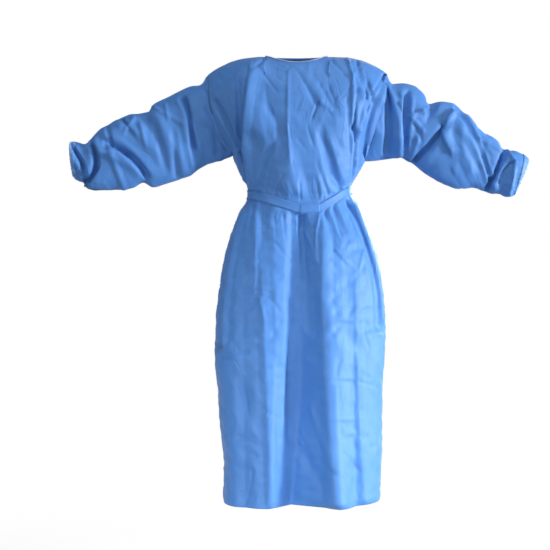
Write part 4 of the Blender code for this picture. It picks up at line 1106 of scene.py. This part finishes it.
def cloth_piece(name, grid, finish, thickness=CLOTH, closed=False):
    """A grid of cloth as a mesh with its flat places as a UV map, its wall and its finish."""
    index = np.arange(grid.shape[0] * grid.shape[1]).reshape(grid.shape[:2])
    mesh = bpy.data.meshes.new(name)
    mesh.from_pydata(grid.reshape(-1, 3).tolist(), [], grid_faces(index, closed).tolist())
    add_map(mesh, flat_places(grid, closed))
    mesh.shade_smooth()
    mesh.materials.append(finish)
    piece = placed(name, mesh)
    wall = piece.modifiers.new("wall", "SOLIDIFY")
    wall.thickness = thickness
    wall.offset = -1
    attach(piece, "root")
    return piece


def sheet(node):
    """The cloth piece stands for a node, and the node's solid is hidden."""
    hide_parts(node)


def strip(points, normals, lift, waves=None):
    """The outer face of a strip that lies on some of a panel's points, with any waves of its own."""
    raised = points + normals * lift
    return raised if waves is None else raised + normals * waves[..., None]


def read_along(rows, places):
    """Points of some rows read at column places that need not be whole, round a closed body."""
    count = rows.shape[1]
    low = np.floor(places).astype(int)
    share = (places - low)[None, :, None]
    return rows[:, low % count] * (1 - share) + rows[:, (low + 1) % count] * share


def stitches(name, starts, ends, normals, thread, finish):
    """A row of stitches as one mesh, each a short thread that is thickest in its middle."""
    points, faces = [], []
    for start, end, normal in zip(starts, ends, normals):
        middle, run = (start + end) / 2, end - start
        side = np.cross(normal, run)
        side = side / max(np.linalg.norm(side), 1e-9) * thread
        base = len(points)
        points += [start, middle + side, middle + normal * thread * THREAD_PROUD]
        points += [middle - side, middle - normal * thread, end]
        for i in range(4):
            first, second = base + 1 + i, base + 1 + (i + 1) % 4
            faces += [(base, first, second), (base + 5, second, first)]
    mesh = bpy.data.meshes.new(name)
    mesh.from_pydata([tuple(point) for point in points], [], faces)
    mesh.shade_smooth()
    mesh.materials.append(finish)
    piece = placed(name, mesh)
    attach(piece, "root")


def stitch_line(name, line, facing, lift, spacing, thread, finish):
    """A row of stitches along a line of points, a little off the cloth."""
    line = line + facing * lift
    starts, ends, outward = between_lines(line, line, facing, spacing, STITCH_SHARE)
    stitches(name, starts, ends, outward, thread, finish)


def overlock(name, edge, inner, facing, spacing, thread, finish):
    """Stitches from the edge of a strip to a line a little way in."""
    starts, ends, outward = between_lines(edge, inner, facing, spacing)
    lift = outward * OVERLOCK_LIFT
    stitches(name, starts + lift, ends + lift, outward, thread, finish)


def between_lines(points, others, normals, spacing, share=0.0):
    """The starts on one line and the ends on another of stitches at an even spacing, and their normals."""
    count = max(int(np.linalg.norm(np.diff(points, axis=0), axis=1).sum() / spacing), 1)
    places = (np.arange(count) + 0.2) / count

    def read(line, values, at):
        run = np.concatenate([[0], np.cumsum(np.linalg.norm(np.diff(line, axis=0), axis=1))])
        return np.stack([np.interp(at, run / run[-1], values[:, i]) for i in range(3)], axis=1)

    ends = read(others, others, places + share / count)
    return read(points, points, places), ends, read(points, normals, places)


def node(tree, kind, **values):
    """A shader node with some of its properties and sockets set; a node given as a value is linked."""
    made = tree.nodes.new(kind)
    for key, value in values.items():
        if key[0].isupper():
            socket = made.inputs[key.replace("_", " ")]
        elif key[:2] == "in" and key[2:].isdigit():
            socket = made.inputs[int(key[2:])]
        else:
            setattr(made, key, value)
            continue
        if isinstance(value, bpy.types.NodeSocket):
            tree.links.new(value, socket)
        else:
            socket.default_value = value
    return made


def maths(tree, operation, *values):
    """The result of a Math node on some values or sockets."""
    sockets = {f"in{i}": value for i, value in enumerate(values)}
    return node(tree, "ShaderNodeMath", operation=operation, **sockets).outputs[0]


def group(name, inputs, outputs):
    """A shader node group with named number inputs and outputs, and its two end nodes."""
    tree = bpy.data.node_groups.new(name, "ShaderNodeTree")
    for label, value in inputs.items():
        socket = tree.interface.new_socket(label, in_out="INPUT", socket_type="NodeSocketFloat")
        socket.default_value = value
    for label in outputs:
        tree.interface.new_socket(label, in_out="OUTPUT", socket_type="NodeSocketFloat")
    return tree, tree.nodes.new("NodeGroupInput"), tree.nodes.new("NodeGroupOutput")


def bonded_web():
    """The small diamond-shaped points where a nonwoven web is pressed together, and its cloudy fibres."""
    inputs = {"Pitch": 2.0 * MM, "Cloud Size": 30 * MM}
    tree, start, end = group("bonded web", inputs, ("Points", "Cloud", "Fibres"))
    place = tree.nodes.new("ShaderNodeUVMap").outputs["UV"]
    turns = maths(tree, "DIVIDE", 2 * math.pi, start.outputs["Pitch"])
    scaled = node(tree, "ShaderNodeVectorMath", operation="SCALE", in0=place, Scale=turns)
    parts = node(tree, "ShaderNodeSeparateXYZ", in0=scaled.outputs[0])
    across, up = maths(tree, "SINE", parts.outputs["X"]), maths(tree, "SINE", parts.outputs["Y"])
    size = maths(tree, "ABSOLUTE", maths(tree, "MULTIPLY", across, up))
    points = node(tree, "ShaderNodeMapRange", in0=size, in1=0.35, in2=0.75)
    tree.links.new(points.outputs[0], end.inputs["Points"])
    coarse = maths(tree, "DIVIDE", 1.0, start.outputs["Cloud Size"])
    cloud = node(tree, "ShaderNodeTexNoise", Vector=place, Scale=coarse, Detail=4.0, Roughness=0.6)
    tree.links.new(cloud.outputs["Fac"], end.inputs["Cloud"])
    longer = node(tree, "ShaderNodeMapping", Vector=place, Scale=(1.0, 0.35, 1.0))
    drawn = longer.outputs[0]
    fibres = node(tree, "ShaderNodeTexNoise", Vector=drawn, Scale=1400.0, Detail=3.0, Roughness=0.65)
    tree.links.new(fibres.outputs["Fac"], end.inputs["Fibres"])
    return tree


def crumples():
    """Fine creases of cloth that was packed: nets of thin lines, drawn out along the cloth, in patches."""
    tree, start, end = group("crumples", {"Size": 70 * MM, "Width": 2.5 * MM}, ("Height",))
    place = tree.nodes.new("ShaderNodeUVMap").outputs["UV"]
    density = maths(tree, "DIVIDE", 1.0, start.outputs["Size"])
    total = None
    for factor, weight, turn in CRUMPLE_NETS:
        laid = node(tree, "ShaderNodeMapping", Vector=place, Rotation=(0, 0, turn), Scale=CRUMPLE_STRETCH)
        scale = maths(tree, "MULTIPLY", density, factor)
        bend = node(tree, "ShaderNodeTexNoise", Vector=laid.outputs[0], Scale=scale, Detail=1.0)
        amount = CRUMPLE_BEND / factor
        bend = bend.outputs["Color"]
        shift = node(tree, "ShaderNodeVectorMath", operation="SCALE", in0=bend, Scale=amount)
        sources = {"in0": laid.outputs[0], "in1": shift.outputs[0]}
        moved = node(tree, "ShaderNodeVectorMath", operation="ADD", **sources).outputs[0]
        cells = node(tree, "ShaderNodeTexVoronoi", feature="DISTANCE_TO_EDGE", Vector=moved, Scale=scale)
        away = maths(tree, "DIVIDE", cells.outputs["Distance"], scale)
        width = start.outputs["Width"]
        line = node(tree, "ShaderNodeMapRange", in0=away, in1=0.0, in2=width, in3=1.0, in4=0.0)
        patches = node(tree, "ShaderNodeTexNoise", Vector=moved, Scale=9.0 * factor, Detail=1.0)
        here = node(tree, "ShaderNodeMapRange", in0=patches.outputs["Fac"], in1=0.53, in2=0.7)
        part = maths(tree, "MULTIPLY", line.outputs[0], here.outputs[0])
        part = maths(tree, "MULTIPLY", part, weight)
        total = part if total is None else maths(tree, "ADD", total, part)
    tree.links.new(total, end.inputs["Height"])
    return tree


def new_finish(name):
    """A material with its node tree and its shader."""
    material = bpy.data.materials.new(name)
    material.use_nodes = True
    return material, material.node_tree, material.node_tree.nodes["Principled BSDF"]


def cloth_finish(name, colours, groups, roughness=(0.5, 0.68), crumple=0.0, pitch=2.0 * MM, sheen=0.1):
    """Nonwoven cloth: cloudy colour, bonded points, fibres and fine crumples."""
    material, tree, shader = new_finish(name)
    web, folds = tree.nodes.new("ShaderNodeGroup"), tree.nodes.new("ShaderNodeGroup")
    web.node_tree, folds.node_tree = groups["web"], groups["crumples"]
    web.inputs["Pitch"].default_value = pitch
    web.inputs["Cloud Size"].default_value = CLOUD_SIZE
    light, bright, deep = ((*colour, 1) for colour in colours)
    cloud = node(tree, "ShaderNodeMapRange", in0=web.outputs["Cloud"], in1=0.3, in2=0.7)
    base = node(tree, "ShaderNodeMix", data_type="RGBA", in0=cloud.outputs[0], in6=light, in7=bright)
    pressed = maths(tree, "MULTIPLY", web.outputs["Points"], POINT_DARKNESS)
    colour = node(tree, "ShaderNodeMix", data_type="RGBA", in0=pressed, in6=base.outputs[2], in7=deep)
    tree.links.new(colour.outputs[2], shader.inputs["Base Color"])
    rough = node(tree, "ShaderNodeMapRange", in0=web.outputs["Fibres"], in3=roughness[0], in4=roughness[1])
    tree.links.new(rough.outputs[0], shader.inputs["Roughness"])
    fine = maths(tree, "MULTIPLY", web.outputs["Fibres"], FIBRE_HEIGHT)
    dots = maths(tree, "MULTIPLY_ADD", web.outputs["Points"], -POINT_DEPTH, fine)
    height = maths(tree, "MULTIPLY_ADD", folds.outputs["Height"], crumple, dots)
    bump = node(tree, "ShaderNodeBump", Height=height, Distance=1.0, Strength=1.0)
    tree.links.new(bump.outputs["Normal"], shader.inputs["Normal"])
    shader.inputs["Sheen Weight"].default_value = sheen
    shader.inputs["Sheen Roughness"].default_value = 0.45
    shader.inputs["Specular IOR Level"].default_value = 0.5
    return material


def thread_finish(name, colour):
    """Spun thread: a fine twist along its own length."""
    material, tree, shader = new_finish(name)
    place = tree.nodes.new("ShaderNodeTexCoord").outputs["Object"]
    twist = node(tree, "ShaderNodeTexNoise", Vector=place, Scale=2600.0, Detail=2.0).outputs["Fac"]
    shade = (*[part * THREAD_SHADE for part in colour], 1)
    light = node(tree, "ShaderNodeMix", data_type="RGBA", in0=twist, in6=shade, in7=(*colour, 1))
    tree.links.new(light.outputs[2], shader.inputs["Base Color"])
    rough = node(tree, "ShaderNodeMapRange", in0=twist, in3=0.5, in4=0.75)
    tree.links.new(rough.outputs[0], shader.inputs["Roughness"])
    bump = node(tree, "ShaderNodeBump", Height=twist, Distance=0.08 * MM, Strength=0.6)
    tree.links.new(bump.outputs["Normal"], shader.inputs["Normal"])
    return material


def finishes():
    """Every finish of the gown by its name."""
    groups = {"web": bonded_web(), "crumples": crumples()}
    return {
        "cloth": cloth_finish("blue_nonwoven", BLUE, groups, crumple=0.9 * MM),
        "belt": cloth_finish("doubled_nonwoven", DOUBLED_BLUE, groups, crumple=0.25 * MM, pitch=1.6 * MM),
        "elastic": cloth_finish("gathered_edge", PALE_BLUE, groups, crumple=0.3 * MM, pitch=1.4 * MM),
        "tab": cloth_finish("hook_and_loop", DOUBLED_BLUE, groups, roughness=(0.7, 0.9), pitch=0.9 * MM),
        "white_thread": thread_finish("white_thread", WHITE_THREAD),
        "blue_thread": thread_finish("blue_thread", BLUE_THREAD),
    }


def build_body(grids, normals, looks):
    """The front panel and the two lapped back panels."""
    front = cloth_piece("front_panel", grids["front"], looks["cloth"])
    sheet("front")
    back, out = grids["back"], normals["back"]
    under = cloth_piece("back_left_panel", back[:, MIDDLE + LAP :: -1], looks["cloth"])
    sheet("back_left")
    lift = BACK_LIFT * smooth_step((MIDDLE + 2 * LAP - np.arange(COLUMNS + 1)) / LAP)
    over = back + out * lift[None, :, None]
    outside = cloth_piece("back_right_panel", over[:, : MIDDLE - LAP - 1 : -1], looks["cloth"])
    sheet("back_right")
    return over


def build_sleeves(grids, normals, looks):
    """The sleeves, with their gathered ends and the elastic edges round them."""
    for side in ("left", "right"):
        grid, out = grids[side], normals[side]
        up = distances(grid)[1]
        turn = np.linspace(0, 2 * math.pi, grid.shape[1], endpoint=False)
        waves = np.sin(GATHERS[0] * turn + 1.7 * np.sin(5 * turn)) + 0.4 * np.sin(GATHERS[1] * turn + 2)
        fade = np.exp(-(((up[-1] - up) / GATHER_REACH) ** 2))
        gathered = grid + out * (GATHER_DEPTH * waves * fade)[..., None]
        piece = cloth_piece(f"sleeve_{side}_panel", gathered, looks["cloth"], closed=True)
        sheet(f"sleeve_{side}")
        last = len(grid) - 1 - round(CUFF_WIDTH / RING_SPACING)
        ridges = CUFF_RIDGE_HEIGHT * np.sin(CUFF_RIDGES * turn)[None, :] * np.ones((len(grid) - last, 1))
        lifted = strip(gathered[last:], out[last:], CUFF_LIFT + TRIM_CLOTH, ridges)
        band = cloth_piece(f"cuff_{side}_band", lifted, looks["elastic"], TRIM_CLOTH, closed=True)
        sheet(f"cuff_{side}")
        edge, inner, facing = (np.concatenate([row, row[:1]]) for row in (lifted[-1], lifted[-2], out[-1]))
        name = f"cuff_{side}_edge_thread"
        overlock(name, edge, inner, facing, CUFF_OVERLOCK, THREAD, looks["white_thread"])


def belt_stitches(name, line, facing, looks):
    """A row of the belt's own stitches, on the belt or on a tail of it."""
    stitch_line(name, line, facing, BELT_STITCH_LIFT, BELT_STITCH, BELT_THREAD, looks["blue_thread"])


def build_belt(grids, normals, over, looks):
    """The belt in two lengths, the patch at the front and the stitches on them."""
    low, high = fine_heights()[1]
    front, front_out, back_out = grids["front"], normals["front"], normals["back"]
    columns = np.arange(COLUMNS + 1)
    bridge = smooth_step((columns - (MIDDLE - 2 * LAP)) / LAP)
    lapped = over - back_out * (BACK_LIFT * (1 - bridge))[None, :, None]
    rows = slice(low, high + 1)
    ring = np.concatenate([front[rows], lapped[rows][:, -2:0:-1]], axis=1)
    out = np.concatenate([front_out[rows], back_out[rows][:, -2:0:-1]], axis=1)
    half = PATCH_WIDTH / 2
    edges = PATCH_CENTRE + np.array([PATCH_TUCK - half, half - PATCH_TUCK, -half, half])
    middle_row = front[(low + high) // 2, :, 0]
    tucked_left, tucked_right, patch_left, patch_right = np.interp(edges, middle_row, columns)
    knot = MIDDLE - 0.1
    spans = {
        "belt_left": (-knot, tucked_left, 0.0, (0.40, BELT_WIDTH)),
        "belt_right": (tucked_right, COLUMNS + knot, 0.0, (0.34, BELT_WIDTH)),
        "belt_patch": (patch_left, patch_right, PATCH_LIFT, (PATCH_WIDTH, BELT_WIDTH)),
    }
    for name, (start, stop, lift, flat) in spans.items():
        places = np.array([start, *range(math.ceil(start), math.floor(stop) + 1), stop])
        points, facing = read_along(ring, places), read_along(out, places)
        along = distances(points)[0]
        level = np.linspace(0, 1, len(points))[:, None]
        short, long = BELT_WAVE_RUNS
        waves = BELT_WAVE * np.sin(along / short + 3 * level + 2 * np.sin(along / long))
        waves = waves + BELT_SWELL * np.sin(math.pi * level) ** 2
        raised = strip(points, facing, lift + BELT_LIFT, waves if lift == 0 else None)
        piece = cloth_piece(f"{name}_band", raised, looks["belt"], TRIM_CLOTH)
        sheet(name)
        for edge, inner in ((0, 1), (-1, -2)):
            line = raised[edge] + (raised[inner] - raised[edge]) * 0.75
            label = f"{name}_stitches_{inner % len(points)}"
            belt_stitches(label, line, facing[edge], looks)
        if name == "belt_patch":
            for i, place in enumerate(np.linspace(*PATCH_ROW_SPAN, PATCH_ROWS)):
                at = place * (raised.shape[1] - 1)
                column, share = int(at), at - int(at)
                line = raised[:, column] * (1 - share) + raised[:, column + 1] * share
                look = (PATCH_STITCH_LIFT, PATCH_STITCH, PATCH_THREAD, looks["blue_thread"])
                stitch_line(f"patch_stitches_{i + 1}", line, facing[:, column], *look)


def build_binding(grids, normals, over, looks):
    """The strip round the neckline with its overlocked edge and its row of stitches."""
    left, right, lap = SHOULDER, COLUMNS - SHOULDER, MIDDLE - LAP
    rows = slice(-FINE - 1, None)
    start, front, end = slice(lap - 1, left, -1), slice(left, right + 1), slice(right - 1, lap - 1, -1)
    points = [grids["back"][rows, start], grids["front"][rows, front], over[rows, end]]
    out = [normals["back"][rows, start], normals["front"][rows, front], normals["back"][rows, end]]
    points, out = np.concatenate(points, axis=1), np.concatenate(out, axis=1)
    raised = strip(points, out, SEAM_GAP + TRIM_CLOTH)
    piece = cloth_piece("neck_binding_strip", raised, looks["belt"], TRIM_CLOTH)
    sheet("neck_binding")
    white = looks["white_thread"]
    overlock("neck_overlock", raised[-1], raised[-3], out[-1], NECK_OVERLOCK, NECK_OVERLOCK_THREAD, white)
    stitch_line("neck_stitches", raised[1], out[1], NECK_STITCH_LIFT, NECK_STITCH, THREAD, white)


def seam_stitches(grids, normals, looks):
    """Rows of matching thread beside the side seams."""
    for side in ("front", "back"):
        for i, column in enumerate((SEAM_STITCH_COLUMN, -1 - SEAM_STITCH_COLUMN)):
            line, facing = grids[side][:, column], normals[side][:, column]
            look = (SEAM_STITCH_LIFT, SEAM_STITCH, SEAM_THREAD, looks["blue_thread"])
            stitch_line(f"{side}_seam_stitches_{i + 1}", line, facing, *look)


def laid_on(tree, x, z, lift):
    """A grid of points that lies on the back of the gown, at some places seen from the front."""
    points = np.zeros((*x.shape, 3))
    for place in np.ndindex(x.shape):
        hits = []
        for aside in (-STIFFNESS, 0.0, STIFFNESS):
            start = Vector((x[place] + aside, 1.0, z[place]))
            hit, normal, _, _ = tree.ray_cast(start, Vector((0, -1, 0)))
            hits.append((hit.y, normal))
        y, normal = max(hits, key=lambda found: found[0])
        points[place] = Vector((x[place], y, z[place])) + normal * lift
    return points


def back_surface():
    """What is built on the back so far, as a tree that rays can be cast at."""
    corners, faces = [], []
    for name in ("back_left_panel", "back_right_panel", "belt_left_band", "belt_right_band"):
        mesh = bpy.data.objects[name].data
        faces += [[v + len(corners) for v in face.vertices] for face in mesh.polygons]
        corners += [vertex.co.copy() for vertex in mesh.vertices]
    return BVHTree.FromPolygons(corners, faces)


def grid_normals(grid):
    """Point normals of one grid on its own."""
    return point_normals([grid], [False], np.arange(grid.shape[0] * grid.shape[1]))[0]


def build_neck_tab(tree, over, looks):
    """The hook and loop tab that closes the neck, with the stitches round it."""
    edge = over[-FINE - 3, MIDDLE - LAP, 0] + TAB_INSET
    across = np.linspace(TAB_SIZE[0], 0, TAB_POINTS[0]) + edge
    x, z = np.meshgrid(across, np.linspace(-TAB_SIZE[1], 0, TAB_POINTS[1]) - TAB_DROP)
    tab = laid_on(tree, x, z, SEAM_GAP + TRIM_CLOTH)
    piece = cloth_piece("neck_tab_strip", tab, looks["tab"], TRIM_CLOTH)
    sheet("neck_tab")
    out = grid_normals(tab)
    sides = (np.s_[1, 1:-1], np.s_[-2, 1:-1], np.s_[1:-1, 1], np.s_[1:-1, -2])
    for i, side in enumerate(sides):
        look = (TAB_STITCH_LIFT, TAB_STITCH, THREAD, looks["blue_thread"])
        stitch_line(f"tab_stitches_{i + 1}", tab[side], out[side], *look)


def swept(name, path, width, thickness, finish):
    """A flattened tube of soft doubled cloth swept round a closed path, with creases along it."""
    count = len(path)
    points = np.zeros((count, KNOT_SIDES, 3))
    turn = np.linspace(0, 2 * math.pi, KNOT_SIDES, endpoint=False)
    for i in range(count):
        run = path[(i + 1) % count] - path[i - 1]
        run = run / np.linalg.norm(run)
        side = np.cross(run, path[i] - path.mean(axis=0))
        side = side / np.linalg.norm(side)
        rise = np.cross(side, run)
        crease = 1 + KNOT_CREASE * np.sin(5 * turn + 4 * math.pi * i / count)
        points[i] = path[i] + np.outer(np.cos(turn) * crease * width / 2, side)
        points[i] += np.outer(np.sin(turn) * crease * thickness / 2, rise)
    index = np.arange(count * KNOT_SIDES).reshape(count, KNOT_SIDES)
    faces = grid_faces(np.concatenate([index, index[:1]]), True)
    mesh = bpy.data.meshes.new(name)
    mesh.from_pydata(points.reshape(-1, 3).tolist(), [], faces.tolist())
    steps = np.meshgrid(np.arange(count + 1), np.arange(KNOT_SIDES + 1), indexing="ij")
    add_map(mesh, np.stack(steps, axis=-1) * KNOT_MAP_STEP)
    mesh.shade_smooth()
    mesh.materials.append(finish)
    piece = placed(name, mesh)
    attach(piece, "root")
    return piece


def build_knot(tree, looks):
    """The belt's knot: doubled cloth pulled tight in one overhand turn."""
    height = BELT_HEIGHT + BELT_RISE_BACK
    seat = laid_on(tree, np.array([[0.0]]), np.array([[height]]), SEAM_GAP)[0, 0, 1]
    turn = np.linspace(0, 2 * math.pi, KNOT_STEPS, endpoint=False)
    flat = 1 + 0.5 * np.cos(3 * turn)
    x = KNOT_SIZE[0] * KNOT_PATH_SHARE * flat * np.cos(2 * turn)
    z = KNOT_SIZE[2] * KNOT_PATH_SHARE * flat * np.sin(2 * turn)
    y = KNOT_SIZE[1] * KNOT_PATH_SHARE * np.sin(3 * turn)
    path = np.stack([x, y + seat + KNOT_SIZE[1] * KNOT_SEAT, z + height], axis=1)
    knot = swept("belt_knot_turns", path, *KNOT_BAND, looks["belt"])
    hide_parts("belt_knot")


def build_tails(tree, looks):
    """The belt's two free ends, which hang from the knot."""
    height = BELT_HEIGHT + BELT_RISE_BACK
    start = height - max(BELT_WIDTH, KNOT_SIZE[2]) / 2 - TAIL_DROP
    wide, long = TAIL_POINTS
    share = np.linspace(1, 0, long)
    for i, (length, spread) in enumerate(zip(TAIL_LENGTHS, TAIL_SPREAD)):
        wander = TAIL_WANDER * np.sin(9 * share + i) * share
        middle = math.copysign(TAIL_START, spread) + spread * share + wander
        narrow = 1 - TAIL_PINCH * np.exp(-((share / TAIL_PINCH_REACH) ** 2))
        across = np.linspace(BELT_WIDTH / 2, -BELT_WIDTH / 2, wide)
        x = middle[:, None] + across * narrow[:, None]
        z = np.repeat((start - length * share)[:, None], wide, axis=1)
        tail = laid_on(tree, x, z, SEAM_GAP + TRIM_CLOTH + TAIL_LIFT)
        bend = np.sin(math.pi * np.linspace(0, 1, wide))[None, :] * (1 - narrow)[:, None] * TAIL_BEND
        ripple = TAIL_RIPPLE * np.sin(share * 17 + i)[:, None] ** 2 * share[:, None]
        tail[..., 1] += bend + ripple
        piece = cloth_piece(f"belt_tail_{i + 1}_band", tail, looks["belt"], TRIM_CLOTH)
        sheet(f"belt_tail_{i + 1}")
        out = grid_normals(tail)
        for j, column in enumerate((1, -2)):
            belt_stitches(f"tail_{i + 1}_stitches_{j + 1}", tail[:, column], out[:, column], looks)


def pale_floor():
    """A floor that takes a faint shadow near the gown and fades into the white surroundings."""
    material, tree, shader = new_finish("pale_floor")
    shader.inputs["Base Color"].default_value = FLOOR_COLOUR
    shader.inputs["Roughness"].default_value = FLOOR_ROUGHNESS
    place = tree.nodes.new("ShaderNodeTexCoord").outputs["Object"]
    away = node(tree, "ShaderNodeVectorMath", operation="LENGTH", in0=place).outputs["Value"]
    far = node(tree, "ShaderNodeMapRange", in0=away, in1=FLOOR_FADE[0], in2=FLOOR_FADE[1])
    grain = node(tree, "ShaderNodeTexNoise", Vector=place, Scale=60.0, Detail=3.0)
    bump = node(tree, "ShaderNodeBump", Height=grain.outputs["Fac"], Distance=0.3 * MM, Strength=0.3)
    tree.links.new(bump.outputs["Normal"], shader.inputs["Normal"])
    white = node(tree, "ShaderNodeEmission", Color=WHITE, Strength=1.0)
    near = maths(tree, "MULTIPLY_ADD", far.outputs[0], FLOOR_WHITENESS[1], FLOOR_WHITENESS[0])
    mixed = node(tree, "ShaderNodeMixShader", in0=near, in1=shader.outputs[0], in2=white.outputs[0])
    tree.links.new(mixed.outputs[0], tree.nodes["Material Output"].inputs["Surface"])
    return material


def area_light(name, place, aim, size, power, spread):
    """A round soft light at its place, turned to what it is aimed at."""
    lamp = bpy.data.lights.new(name, "AREA")
    lamp.shape = "DISK"
    lamp.size = size
    lamp.energy = power
    lamp.spread = math.radians(spread)
    thing = placed(name, lamp)
    thing.location = place
    thing.rotation_euler = (Vector(aim) - Vector(place)).to_track_quat("-Z", "Y").to_euler()


def build_studio():
    """The floor, the soft lights, the pale surroundings and the camera."""
    bpy.ops.object.select_all(action="DESELECT")
    low = (0, 0, FLOOR_HEIGHT)
    bpy.ops.mesh.primitive_circle_add(vertices=96, radius=FLOOR_RADIUS, fill_type="NGON", location=low)
    floor = bpy.context.object
    floor.name = "studio_floor"
    floor.data.materials.append(pale_floor())
    floor.visible_diffuse = False
    for name, row in STUDIO_LIGHTS.items():
        area_light(name, *row)
    world = bpy.data.worlds.new("pale_surroundings")
    world.use_nodes = True
    tree = world.node_tree
    dim = tree.nodes["Background"]
    dim.inputs["Color"].default_value = SURROUNDINGS_COLOUR
    dim.inputs["Strength"].default_value = SURROUNDINGS_STRENGTH
    white = node(tree, "ShaderNodeBackground", Color=WHITE, Strength=1.0)
    straight = tree.nodes.new("ShaderNodeLightPath").outputs["Is Camera Ray"]
    mixed = node(tree, "ShaderNodeMixShader", in0=straight, in1=dim.outputs[0], in2=white.outputs[0])
    tree.links.new(mixed.outputs[0], tree.nodes["World Output"].inputs["Surface"])
    bpy.context.scene.world = world
    bpy.context.scene.view_settings.view_transform = "Standard"

    lens = bpy.data.cameras.new("photo_camera")
    lens.sensor_width = SENSOR
    lens.lens = SENSOR * -CAMERA_PLACE[1] / VIEW_WIDTH
    camera = placed("photo_camera", lens)
    camera.location = CAMERA_PLACE
    camera.rotation_euler = (math.pi / 2, 0, 0)
    bpy.context.scene.camera = camera


def main():
    """The studio, then the gown from its panels out to what lies on them."""
    build_studio()
    looks = finishes()
    grids, normals = surfaces()
    over = build_body(grids, normals, looks)
    build_sleeves(grids, normals, looks)
    build_belt(grids, normals, over, looks)
    build_binding(grids, normals, over, looks)
    seam_stitches(grids, normals, looks)
    tree = back_surface()
    build_neck_tab(tree, over, looks)
    build_knot(tree, looks)
    build_tails(tree, looks)


main()
